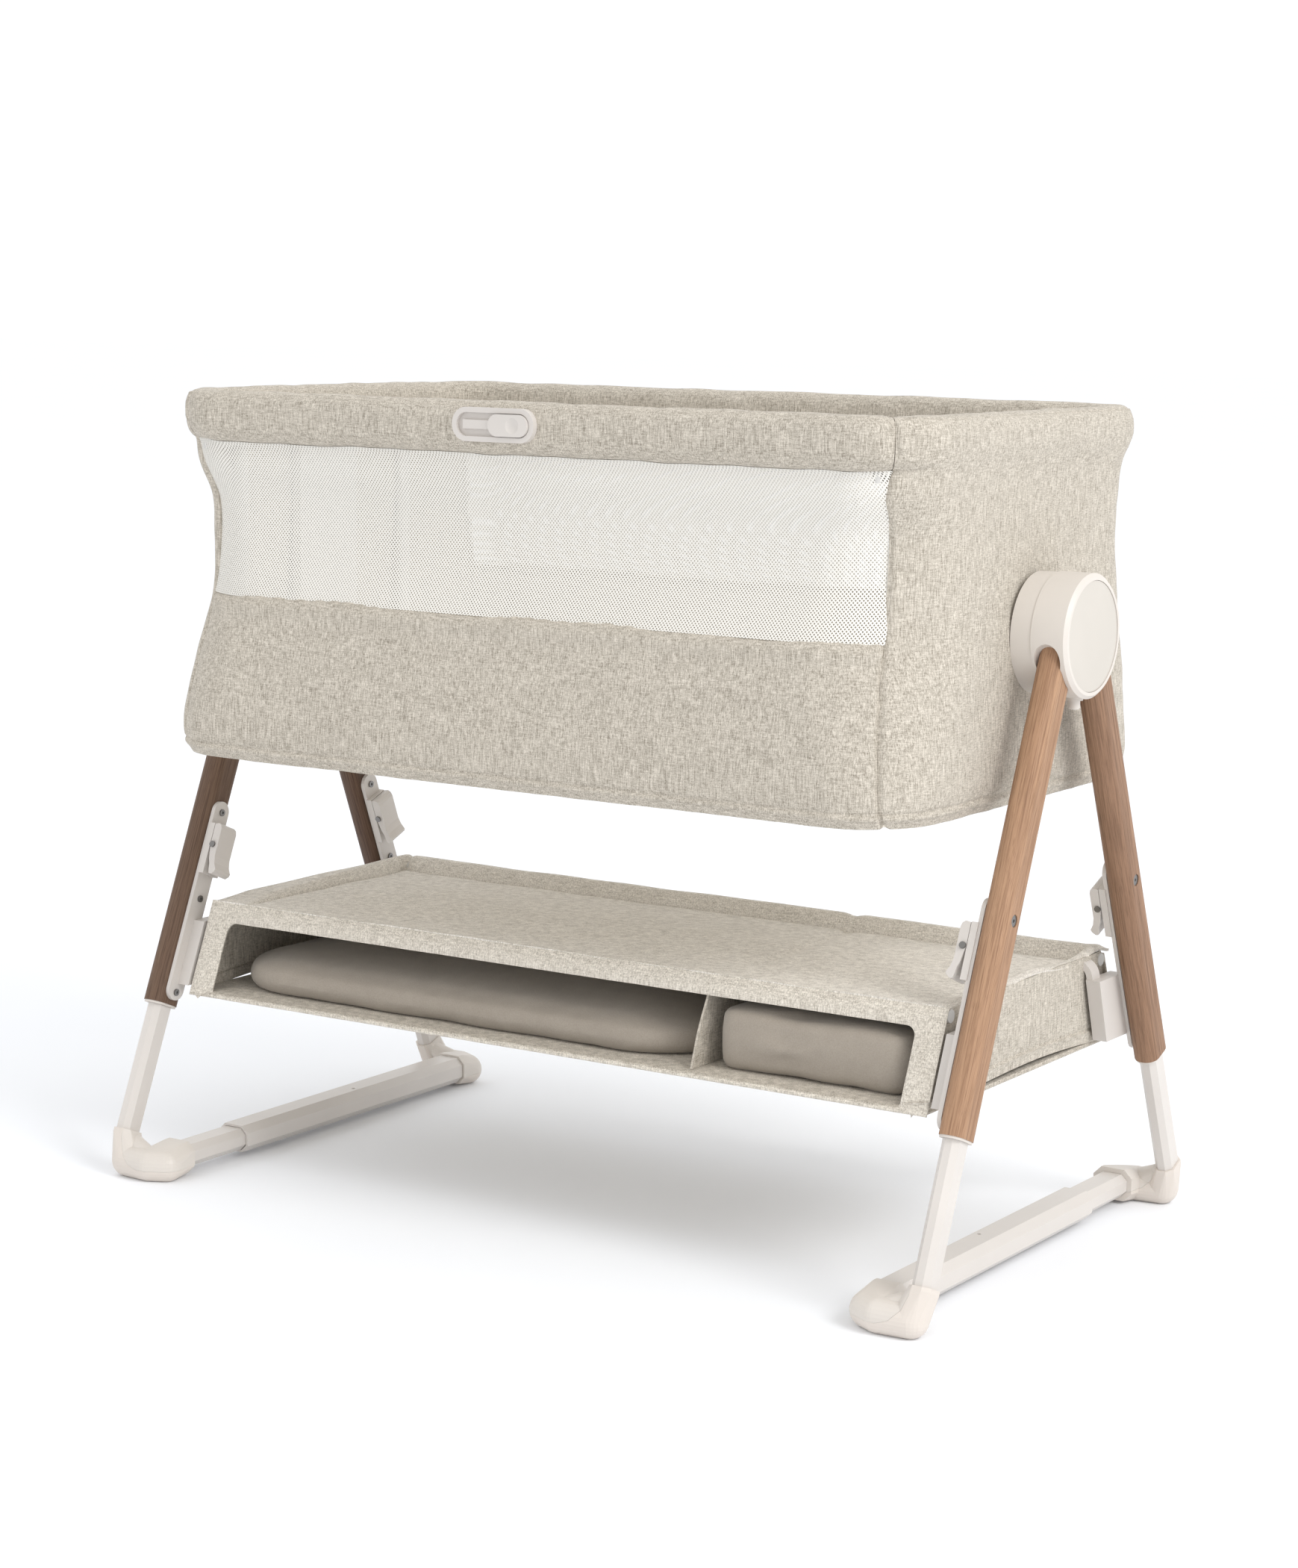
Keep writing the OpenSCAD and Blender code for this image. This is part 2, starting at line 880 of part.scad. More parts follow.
module shelf_top()
    color("tan")
    difference() {
        along_x(-shelf_l, shelf_l)
            polygon([
                [-leg_y(shelf_join_z), shelf_join_z], [-leg_y(shelf_z), shelf_z],
                [-leg_y(shelf_z) + 8, shelf_z], [leg_y(shelf_z) - 16, shelf_z - 12],
                [leg_y(shelf_z) - 10, shelf_z], [leg_y(shelf_z), shelf_z],
                [leg_y(shelf_join_z), shelf_join_z]
            ]);
        for (sy = [-1, 1])
            translate([0, sy * shelf_rail_y, shelf_rail_z])
                rod_x(shelf_rail_r + fit, -shelf_l - 1, shelf_l + 1);
        for (sx = [-1, 1], sy = [-1, 1])
            corner(sx, sy)
                translate([shelf_l - 12, -arm_y - arm_w / 2 - 1, shelf_join_z - 1])
                    cube([20, arm_w + 2, shelf_edge_drop - 2]);
    }

module shelf_wall_section(y_in)
    polygon([
        [leg_y(shelf_base_z) - y_in, shelf_base_z - 0.5], [leg_y(shelf_base_z), shelf_base_z - 0.5],
        [leg_y(shelf_join_z), shelf_join_z], [leg_y(shelf_join_z) - y_in, shelf_join_z]
    ]);

module shelf_end_section(inset, top)
    polygon([
        [inset - leg_y(shelf_base_z), shelf_base_z], [inset - leg_y(top), top],
        [leg_y(top) - inset, top], [leg_y(shelf_base_z) - inset, shelf_base_z]
    ]);

module shelf_basket()
    color("tan") {
        along_x(-shelf_l, shelf_l)
            polygon([
                [-leg_y(shelf_floor_z), shelf_floor_z], [leg_y(shelf_floor_z), shelf_floor_z],
                [leg_y(shelf_base_z), shelf_base_z], [-leg_y(shelf_base_z), shelf_base_z]
            ]);
        along_x(-shelf_l, shelf_l)
            shelf_wall_section(shelf_skin);
        for (sx = [-1, 1])
            side(sx) {
                along_x(shelf_l - shelf_skin, shelf_l)
                    shelf_end_section(0, shelf_join_z);
                mirror([0, 1, 0])
                    along_x(shelf_l - front_band_w, shelf_l)
                        shelf_wall_section(shelf_skin);
            }
    }

module shelf_divider()
    color("tan")
    along_x(divider_x - shelf_skin / 2, divider_x + shelf_skin / 2)
    shelf_end_section(shelf_skin + 1, shelf_join_z);

module pad(size, r)
    linear_extrude(size[2])
        round_rect(size[0] / 2, size[1] / 2, r);

module storage_pad_long()
    color("rosybrown")
    translate([divider_x - 9 - long_pad[0] / 2, -11, shelf_base_z])
    pad(long_pad, 60);

module storage_pad_short()
    color("rosybrown")
    translate([divider_x + 9 + short_pad[0] / 2, -24, shelf_base_z])
    pad(short_pad, 24);

leg(-1, -1);  // leg_front_left
leg(1, -1);  // leg_front_right
leg(-1, 1);  // leg_rear_left
leg(1, 1);  // leg_rear_right
leg_bushes();
hub(-1);  // hub_left
hub(1);  // hub_right
hub_cap(-1);  // hub_cap_left
hub_cap(1);  // hub_cap_right
swing_button(-1);  // swing_button_left
swing_button(1);  // swing_button_right
bracket(-1, -1);  // bracket_front_left
bracket(1, -1);  // bracket_front_right
bracket(-1, 1);  // bracket_rear_left
bracket(1, 1);  // bracket_rear_right
lever(-1, -1);  // lever_front_left
lever(1, -1);  // lever_front_right
lever(-1, 1);  // lever_rear_left
lever(1, 1);  // lever_rear_right
stand_fasteners();
leg_tube(-1, -1);  // leg_tube_front_left
leg_tube(1, -1);  // leg_tube_front_right
leg_tube(-1, 1);  // leg_tube_rear_left
leg_tube(1, 1);  // leg_tube_rear_right
elbow(-1, -1);  // elbow_front_left
elbow(1, -1);  // elbow_front_right
elbow(-1, 1);  // elbow_rear_left
elbow(1, 1);  // elbow_rear_right
sole(-1, -1);  // sole_front_left
sole(1, -1);  // sole_front_right
sole(-1, 1);  // sole_rear_left
sole(1, 1);  // sole_rear_right
bar_sleeve(-1);  // bar_sleeve_left
bar_sleeve(1);  // bar_sleeve_right
bar_tube(-1);  // bar_tube_left
bar_tube(1);  // bar_tube_right
swing_disc(-1);  // swing_disc_left
swing_disc(1);  // swing_disc_right
end_yokes();
lower_frame();
rim_rail();
corner_posts();
mattress_board();
mattress();
rim_cover();
end_panel(-1);  // end_panel_left
end_panel(1);  // end_panel_right
mesh_rear();
mesh_front();
lower_panels();
drop_rail();
drop_rail_cover();
latch_plate();
latch_slider();
shelf_rails();
shelf_top();
shelf_basket();
shelf_divider();
storage_pad_long();
storage_pad_short();
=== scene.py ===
"""Looks of the bedside bassinet: its cloth pieces, materials, light and camera."""

import json
import math

import bpy
import numpy as np
from mathutils import Matrix, Vector


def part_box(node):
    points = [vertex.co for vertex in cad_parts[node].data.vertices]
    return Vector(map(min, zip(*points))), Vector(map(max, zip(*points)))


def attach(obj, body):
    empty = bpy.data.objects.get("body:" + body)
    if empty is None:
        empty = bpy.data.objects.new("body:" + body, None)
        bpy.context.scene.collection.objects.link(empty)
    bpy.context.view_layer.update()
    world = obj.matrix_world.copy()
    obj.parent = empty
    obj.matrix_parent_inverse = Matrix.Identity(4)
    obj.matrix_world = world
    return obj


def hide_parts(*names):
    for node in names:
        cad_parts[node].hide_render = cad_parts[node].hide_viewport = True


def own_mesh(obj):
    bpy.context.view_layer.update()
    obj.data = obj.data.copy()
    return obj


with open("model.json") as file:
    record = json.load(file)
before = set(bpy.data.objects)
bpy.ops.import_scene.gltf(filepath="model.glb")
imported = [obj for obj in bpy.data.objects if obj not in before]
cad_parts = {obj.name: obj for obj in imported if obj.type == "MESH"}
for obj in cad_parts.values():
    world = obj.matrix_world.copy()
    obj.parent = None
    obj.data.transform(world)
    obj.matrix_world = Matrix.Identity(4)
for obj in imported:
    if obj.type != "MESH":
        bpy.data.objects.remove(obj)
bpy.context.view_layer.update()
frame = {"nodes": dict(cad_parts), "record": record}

LEAN = math.radians(22.5)
TAN = math.tan(LEAN)


def low(node):
    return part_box(node)[0]


def high(node):
    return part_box(node)[1]


# ---- Sizes read from the frame ------------------------------------------------

low_lo, low_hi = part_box("lower_frame")
FRAME_L = (low_hi.x - low_lo.x) / 2 - (low_hi.z - low_lo.z) / 2
FRAME_W = (low_hi.y - low_lo.y) / 2 - (low_hi.z - low_lo.z) / 2
FRAME_R = 0.06
RIM_LO, RIM_HI = low("rim_cover").z, high("rim_cover").z
RIM_OUT = high("rim_cover").x - FRAME_L
RIM_IN = 0.014
MESH_LO = low("mesh_rear").z
CRIB_LO = low("lower_panels").z
SEAM_X = high("mesh_rear").x
SEAM_ANGLE = math.asin((SEAM_X - FRAME_L + FRAME_R) / (FRAME_R + RIM_OUT))

SHELF_L = high("shelf_basket").x
SHELF_LO = low("shelf_basket").z
SHELF_HI = high("shelf_top").z
SHELF_Y = high("shelf_top").y
SHELF_JOIN = low("shelf_top").z
SHELF_BASE = low("storage_pad_long").z
DIVIDER_X = (low("shelf_divider").x + high("shelf_divider").x) / 2


def shelf_y(z):
    """Half width of the shelf at height z: its front and back lean as the legs do."""
    return SHELF_Y + (SHELF_JOIN - z) * TAN


# ---- Mesh building ------------------------------------------------------------

def collect(obj):
    bpy.context.scene.collection.objects.link(obj)
    return obj


def make_mesh(name, verts, faces, cloth=None, sharp=40):
    mesh = bpy.data.meshes.new(name)
    mesh.from_pydata([tuple(v) for v in verts], [], [tuple(f) for f in faces])
    mesh.update()
    if cloth is not None:
        layer = mesh.attributes.new("cloth", "FLOAT_VECTOR", "POINT")
        layer.data.foreach_set("vector", np.asarray(cloth, np.float32).ravel())
    mesh.polygons.foreach_set("use_smooth", [True] * len(mesh.polygons))
    if sharp:
        mesh.set_sharp_from_angle(angle=math.radians(sharp))
    return collect(bpy.data.objects.new(name, mesh))


def grid_normals(points):
    du = np.gradient(points, axis=0)
    dv = np.gradient(points, axis=1)
    n = np.cross(du, dv)
    return n / np.maximum(np.linalg.norm(n, axis=2, keepdims=True), 1e-12)


def cloth_lengths(points):
    """How far each point is along the cloth from its first row and column, in metres."""
    u = np.zeros(points.shape[:2])
    v = np.zeros(points.shape[:2])
    u[1:] = np.cumsum(np.linalg.norm(np.diff(points, axis=0), axis=2), axis=0)
    v[:, 1:] = np.cumsum(np.linalg.norm(np.diff(points, axis=1), axis=2), axis=1)
    return np.stack([u, v, np.zeros_like(u)], axis=2)


def sheet_piece(name, points, thickness, outward):
    """A closed cloth skin of the given thickness behind a grid of points.
    outward is a rough direction of the face that shows, as a function of a point."""
    points = np.asarray(points, float)
    n = grid_normals(points)
    mid = (points.shape[0] // 2, points.shape[1] // 2)
    if np.dot(n[mid], outward(points[mid])) < 0:
        points = points[::-1]
        n = grid_normals(points)
    nu, nv = points.shape[:2]
    lengths = cloth_lengths(points)
    verts = np.concatenate([points.reshape(-1, 3), (points - thickness * n).reshape(-1, 3)])
    cloth = np.concatenate([lengths.reshape(-1, 3)] * 2)
    count = nu * nv

    def at(i, j, back=0):
        return i * nv + j + back * count

    faces = []
    for i in range(nu - 1):
        for j in range(nv - 1):
            faces.append((at(i, j), at(i + 1, j), at(i + 1, j + 1), at(i, j + 1)))
            faces.append((at(i, j, 1), at(i, j + 1, 1), at(i + 1, j + 1, 1), at(i + 1, j, 1)))
    edge = [(i, 0) for i in range(nu)] + [(nu - 1, j) for j in range(1, nv)]
    edge += [(i, nv - 1) for i in range(nu - 2, -1, -1)] + [(0, j) for j in range(nv - 2, 0, -1)]
    for k, here in enumerate(edge):
        there = edge[(k + 1) % len(edge)]
        faces.append((at(*there), at(*here), at(*here, 1), at(*there, 1)))
    return make_mesh(name, verts, faces, cloth)


def smooth_table(z, zs, vs):
    """A smooth curve through the table's points, evaluated at z."""
    zs, vs = np.asarray(zs, float), np.asarray(vs, float)
    slope = np.diff(vs) / np.diff(zs)
    m = np.concatenate([[slope[0]], (slope[1:] + slope[:-1]) / 2, [slope[-1]]])
    flat = np.concatenate([[False], slope[1:] * slope[:-1] <= 0, [False]])
    m[flat] = 0
    z = np.clip(z, zs[0], zs[-1])
    k = np.clip(np.searchsorted(zs, z) - 1, 0, len(zs) - 2)
    h = zs[k + 1] - zs[k]
    t = (z - zs[k]) / h
    return (
        vs[k] * (1 + 2 * t) * (1 - t) ** 2 + h * m[k] * t * (1 - t) ** 2
        + vs[k + 1] * t * t * (3 - 2 * t) + h * m[k + 1] * t * t * (t - 1)
    )


def ripple(p, size, seed):
    """Smooth cheap noise in -1..1 at points p, made of a few plane waves."""
    rng = np.random.default_rng(seed)
    total = np.zeros(p.shape[:-1])
    for _ in range(7):
        k = rng.normal(size=3)
        k *= 2 * math.pi / size / np.linalg.norm(k) * rng.uniform(0.6, 1.5)
        total += np.sin(p @ k + rng.uniform(0, 2 * math.pi))
    return total / 4


# ---- Crib: one family of rows shared by all its fabric --------------------------

ROW_Z = [
    0.420, 0.428, 0.450, 0.510, 0.574, 0.620, 0.660,
    0.700, 0.716, 0.728, 0.740, 0.752, 0.7600,
]
ROW_A = [
    0.400, 0.4035, 0.4075, 0.4065, 0.4045, 0.4015, 0.399,
    0.4005, 0.4025, 0.4060, 0.4086, 0.4082, 0.4050,
]
ROW_SEAM = [
    0.3780, 0.3778, 0.3770, 0.3700, 0.3635, 0.3638, 0.365,
    0.3680, 0.3720, 0.3800, 0.3800, 0.3790, 0.3770,
]
FRONT_B = [
    0.240, 0.2440, 0.2460, 0.2400, 0.2290, 0.2215, 0.219,
    0.2275, 0.2265, 0.2350, 0.2397, 0.2393, 0.2360,
]
FRONT_R = [
    0.074, 0.0745, 0.0790, 0.0980, 0.1160, 0.1030, 0.092,
    0.0740, 0.0720, 0.0750, 0.0786, 0.0783, 0.0750,
]
REAR_B = [
    0.240, 0.2440, 0.2460, 0.2400, 0.2300, 0.2240, 0.222,
    0.2225, 0.2265, 0.2350, 0.2397, 0.2393, 0.2360,
]
REAR_R = [
    0.074, 0.0740, 0.0760, 0.0790, 0.0800, 0.0740, 0.070,
    0.0690, 0.0710, 0.0750, 0.0786, 0.0783, 0.0750,
]


def row(z, rear=False):
    """Half length, half width, corner radius and seam place of the crib at height z."""
    tables = (ROW_A, REAR_B if rear else FRONT_B, REAR_R if rear else FRONT_R, ROW_SEAM)
    return tuple(smooth_table(z, ROW_Z, table) for table in tables)


def corner_arc(z, rear, n):
    """From the corner seam round to the end, for the right end's front or rear corner."""
    a, b, r, seam = row(z, rear)
    first = math.asin(np.clip((seam - (a - r)) / r, 0, 1))
    angles = first + (math.pi / 2 - first) * np.linspace(0, 1, n) ** 1.7
    arc = np.stack([a - r + r * np.sin(angles), -(b - r) - r * np.cos(angles)], axis=1)
    return arc * ([1, -1] if rear else [1, 1]), b - r


def end_row(z, n_corner, n_straight):
    """One row of the right end, from the front corner seam round to the rear one."""
    front, front_y = corner_arc(z, False, n_corner)
    back, back_y = corner_arc(z, True, n_corner)
    y = np.linspace(-front_y, back_y, n_straight + 2)[1:-1]
    straight = np.stack([np.full_like(y, row(z)[0]), y], axis=1)
    return np.concatenate([front, straight, back[::-1]])


def side_row(z, n_corner, n_straight, rear=False):
    """One row of a long side, from the left corner seam to the right one."""
    a, b, r, seam = row(z, rear)
    first = math.asin(np.clip((seam - (a - r)) / r, 0, 1))
    angles = first * (1 - np.linspace(0, 1, n_corner) ** 1.7)
    corner = np.stack([-(a - r) - r * np.sin(angles), -(b - r) - r * np.cos(angles)], axis=1)
    x = np.linspace(-(a - r), a - r, n_straight + 2)[1:-1]
    straight = np.stack([x, np.full_like(x, -b)], axis=1)
    right = corner[::-1] * [-1, 1]
    return np.concatenate([corner, straight, right]) * ([1, -1] if rear else [1, 1])


def spaced(start, stop, step, fine=0.0009, reach=0.008, spots=()):
    """Places from start to stop, set closer together within reach of each of the spots."""
    places = [start]
    while places[-1] < stop:
        near = min([abs(places[-1] - spot) for spot in spots], default=stop - start)
        places.append(places[-1] + fine + (step - fine) * min(1, max(0, near / reach - 1)))
    places = np.array(places)
    return start + (places - start) * (stop - start) / (places[-1] - start)


def rows_to_points(rows, heights):
    grid = [np.concatenate([r, np.full((len(r), 1), z)], axis=1) for r, z in zip(rows, heights)]
    return np.stack(grid, axis=1)


def edge_dist(points):
    """Distance along the rows from the nearer end of each row, in metres."""
    u = cloth_lengths(points)[:, :, 0]
    return np.minimum(u, u[-1] - u)


def side_points(z0, z1, n_rows, sag=0.0, rear=False):
    heights = np.linspace(z0, z1, n_rows) if np.isscalar(n_rows) else n_rows
    p = rows_to_points([side_row(z, 24, 140, rear) for z in heights], heights)
    if sag:
        t = (heights - z0) / (z1 - z0)
        along = np.clip(1 - np.abs(p[:, :, 0] / SEAM_X) ** 5, 0, 1)
        p[:, :, 1] += (-1 if rear else 1) * sag * np.sin(math.pi * t)[None, :] ** 0.8 * along
    return p


def outward_y(sign):
    return lambda p: np.array([0, sign, 0])


def outward_x(sign):
    return lambda p: np.array([sign, 0, 0])


def bell(offset, height, width):
    """A smooth bump of the given height where offset is near zero."""
    return height * np.exp(-((offset / width) ** 2))


def cloth_size(p):
    """Mean length and height of a grid of cloth, measured along it."""
    lengths = cloth_lengths(p)
    return float(lengths[-1, :, 0].mean()), float(lengths[:, -1, 1].mean())


# ---- Rim roll -------------------------------------------------------------------

ROLL_POWER = 2 / 3.0
ROLL_PINCH = 0.003
ROLL_WAVE = 0.0007
ROLL_WAVE_SIZE = 0.045
ROLL_INSET = 0.0005
ROLL_END = dict(height=0.0016, width=0.004)


def rim_profile(n=36):
    """Offsets from the frame's middle line, and heights, round the padded roll."""
    t = np.linspace(0, 2 * math.pi, n, endpoint=False)
    mid_o, half_o = (RIM_OUT - RIM_IN) / 2, (RIM_OUT + RIM_IN) / 2
    mid_z, half_z = (RIM_LO + RIM_HI) / 2, (RIM_HI - RIM_LO) / 2
    o = mid_o + half_o * np.sign(np.cos(t)) * np.abs(np.cos(t)) ** ROLL_POWER
    z = mid_z + half_z * np.sign(np.sin(t)) * np.abs(np.sin(t)) ** ROLL_POWER
    pinch = np.clip((mid_z - z) / half_z, 0, 1) ** 2
    o = o - ROLL_PINCH * pinch * np.sign(o - mid_o)
    return o, z


def rim_path(start, stop, step=0.004):
    """Middle line of the frame by arc length, from the front's middle and to the right."""
    straight_x, straight_y = FRAME_L - FRAME_R, FRAME_W - FRAME_R
    quarter = FRAME_R * math.pi / 2
    total = 4 * (straight_x + straight_y + quarter)
    s = np.linspace(start, stop, max(2, int(abs(stop - start) / step)))
    out_p, out_n = [], []
    for v in s:
        v = v % total
        pieces = [
            (straight_x, 0), (quarter, 1), (2 * straight_y, 2), (quarter, 3), (2 * straight_x, 4),
            (quarter, 5), (2 * straight_y, 6), (quarter, 7), (straight_x, 8),
        ]
        for length, kind in pieces:
            if v <= length + 1e-12:
                break
            v -= length
        if kind == 0:
            p, n = (v, -FRAME_W), (0, -1)
        elif kind == 2:
            p, n = (FRAME_L, v - straight_y), (1, 0)
        elif kind == 4:
            p, n = (straight_x - v, FRAME_W), (0, 1)
        elif kind == 6:
            p, n = (-FRAME_L, straight_y - v), (-1, 0)
        elif kind == 8:
            p, n = (v - straight_x, -FRAME_W), (0, -1)
        else:
            centre, first = {
                1: ((straight_x, -straight_y), -90), 3: ((straight_x, straight_y), 0),
                5: ((-straight_x, straight_y), 90), 7: ((-straight_x, -straight_y), 180),
            }[kind]
            angle = math.radians(first) + v / FRAME_R
            n = (math.cos(angle), math.sin(angle))
            p = (centre[0] + FRAME_R * n[0], centre[1] + FRAME_R * n[1])
        out_p.append(p)
        out_n.append(n)
    return np.array(out_p), np.array(out_n), s


def swept_roll(name, start, stop, seed):
    path, normal, s = rim_path(start, stop)
    o, z = rim_profile()
    points = np.zeros((len(path), len(o), 3))
    points[:, :, :2] = path[:, None, :] + o[None, :, None] * normal[:, None, :]
    points[:, :, 2] = z[None, :]
    centre = points.mean(axis=1, keepdims=True)
    away = points - centre
    away /= np.linalg.norm(away, axis=2, keepdims=True)
    wave = ROLL_WAVE * ripple(points, ROLL_WAVE_SIZE, seed) - ROLL_INSET
    points += away * wave[:, :, None]
    ends = np.minimum(s - s[0], s[-1] - s)
    points -= away * bell(ends, **ROLL_END)[:, None, None]
    n, m = points.shape[:2]
    verts = points.reshape(-1, 3)
    faces = [
        (i * m + j, i * m + (j + 1) % m, (i + 1) * m + (j + 1) % m, (i + 1) * m + j)
        for i in range(n - 1) for j in range(m)
    ]
    faces = [f[::-1] for f in faces]
    faces.append(tuple(range(m)))
    faces.append(tuple((n - 1) * m + j for j in reversed(range(m))))
    around = np.cumsum(np.r_[0, np.hypot(np.diff(o), np.diff(z))])
    cloth = np.zeros((n, m, 3))
    cloth[:, :, 0] = s[:, None]
    cloth[:, :, 1] = around[None, :]
    return make_mesh(name, verts, faces, cloth.reshape(-1, 3), sharp=60)


# ---- Lofted pads ----------------------------------------------------------------

CORNERS = ((1, -1, -90), (1, 1, 0), (-1, 1, 90), (-1, -1, 180))
THIN = 1e-4


def plan_ring(a, b, r, n_corner=10, n_x=24, n_y=14):
    """A rectangle with rounded corners, with points along its sides too."""
    r = max(min(r, a - THIN, b - THIN), THIN)
    pts = []
    for sx, sy, first in CORNERS:
        for k in range(n_corner + 1):
            t = math.radians(first + 90 * k / n_corner)
            pts.append((sx * (a - r) + r * math.cos(t), sy * (b - r) + r * math.sin(t)))
        nxt = {
            (1, -1): (a, b - r), (1, 1): (-(a - r), b),
            (-1, 1): (-a, -(b - r)), (-1, -1): (a - r, -b),
        }[(sx, sy)]
        last = pts[-1]
        n = n_y if first in (-90, 90) else n_x
        for k in range(1, n):
            pts.append(tuple(last[i] + (nxt[i] - last[i]) * k / n for i in (0, 1)))
    return np.array(pts)


LUMP_SIZE = 0.07


def lofted(name, centre, a, b, r, profile, seed=0, rough=0.0, sharp=60):
    """A closed cushion: each profile entry is (inset from the plan's edge, height)."""
    rings = []
    for inset, z in profile:
        ring = plan_ring(a - inset, b - inset, r - min(inset, 0.6 * r))
        rings.append(np.concatenate([ring + centre[:2], np.full((len(ring), 1), z)], axis=1))
    p = np.array(rings)
    if rough:
        c = p.mean(axis=1, keepdims=True)
        away = p - c
        away[:, :, 2] = (p[:, :, 2] - p[:, :, 2].mean()) * 2
        away /= np.maximum(np.linalg.norm(away, axis=2, keepdims=True), 1e-9)
        p += away * (rough * ripple(p, LUMP_SIZE, seed))[:, :, None]
    n, m = p.shape[:2]
    faces = [
        (i * m + j, i * m + (j + 1) % m, (i + 1) * m + (j + 1) % m, (i + 1) * m + j)
        for i in range(n - 1) for j in range(m)
    ]
    faces.append(tuple(reversed(range(m))))
    faces.append(tuple((n - 1) * m + j for j in range(m)))
    return make_mesh(name, p.reshape(-1, 3), faces, sharp=sharp)


PAD_SEAM = 0.0022
PAD_SEAM_WIDTH = 0.0016
PAD_SWELL = 0.0012
PAD_SIDE_STEPS = 14
PAD_CROWN_STEPS = 8
NEAR_MIDDLE = 0.97


def pad_profile(z0, h, edge, crown, a, seams=(), n=10):
    """Bottom centre, round the side, to the crowned top centre."""
    out = [(a * NEAR_MIDDLE, z0), (a * 0.6, z0), (edge * 1.6, z0)]
    for k in range(n + 1):
        t = math.pi / 2 * k / n
        out.append((edge * (1 - math.sin(t)), z0 + edge * (1 - math.cos(t))))
    top = h - crown
    for k in range(1, PAD_SIDE_STEPS):
        z = edge + (top - 2 * edge) * k / PAD_SIDE_STEPS
        inset = 0.0
        for at in seams:
            inset += PAD_SEAM * math.exp(-(((z - at) / PAD_SEAM_WIDTH) ** 2))
        inset -= PAD_SWELL * math.sin(math.pi * k / PAD_SIDE_STEPS)
        out.append((inset, z0 + z))
    for k in range(n + 1):
        t = math.pi / 2 * k / n
        out.append((edge * (1 - math.cos(t)), z0 + top - edge + edge * math.sin(t)))
    for k in range(1, PAD_CROWN_STEPS + 1):
        f = k / PAD_CROWN_STEPS
        out.append((edge + (a * NEAR_MIDDLE - edge) * f, z0 + top + crown * (1 - (1 - f) ** 2)))
    return out


SIM_FRAMES = 20
SIM_QUALITY = 5


def inflate(obj, voxel=0.005, pressure=4.0, cap=0.006):
    """Swells a cushion with the cloth solver and keeps its points near where they began."""
    bpy.context.view_layer.objects.active = obj
    remesh = obj.modifiers.new("remesh", "REMESH")
    remesh.mode = "VOXEL"
    remesh.voxel_size = voxel
    graph = bpy.context.evaluated_depsgraph_get()
    solid = bpy.data.meshes.new_from_object(obj.evaluated_get(graph))
    obj.modifiers.clear()
    obj.data = solid
    start = np.zeros(len(solid.vertices) * 3)
    solid.vertices.foreach_get("co", start)
    cloth = obj.modifiers.new("cloth", "CLOTH")
    cloth.settings.use_pressure = True
    cloth.settings.uniform_pressure_force = pressure
    cloth.settings.effector_weights.gravity = 0
    cloth.settings.quality = SIM_QUALITY
    scene = bpy.context.scene
    for f in range(1, SIM_FRAMES + 1):
        scene.frame_set(f)
    graph = bpy.context.evaluated_depsgraph_get()
    result = bpy.data.meshes.new_from_object(obj.evaluated_get(graph))
    obj.modifiers.clear()
    end = np.zeros(len(result.vertices) * 3)
    result.vertices.foreach_get("co", end)
    start, end = start.reshape(-1, 3), end.reshape(-1, 3)
    move = end - start
    far = np.linalg.norm(move, axis=1, keepdims=True)
    move *= np.minimum(1, cap / np.maximum(far, 1e-9))
    result.vertices.foreach_set("co", (start + move).ravel())
    result.update()
    result.polygons.foreach_set("use_smooth", [True] * len(result.polygons))
    obj.data = result
    scene.frame_set(1)
    return obj


# ---- Materials ------------------------------------------------------------------

def linear(c):
    """One 8-bit colour value as linear light."""
    c = c / 255
    return c / 12.92 if c <= 0.04045 else ((c + 0.055) / 1.055) ** 2.4


def srgb(*rgb):
    return tuple(linear(c) for c in rgb) + (1.0,)


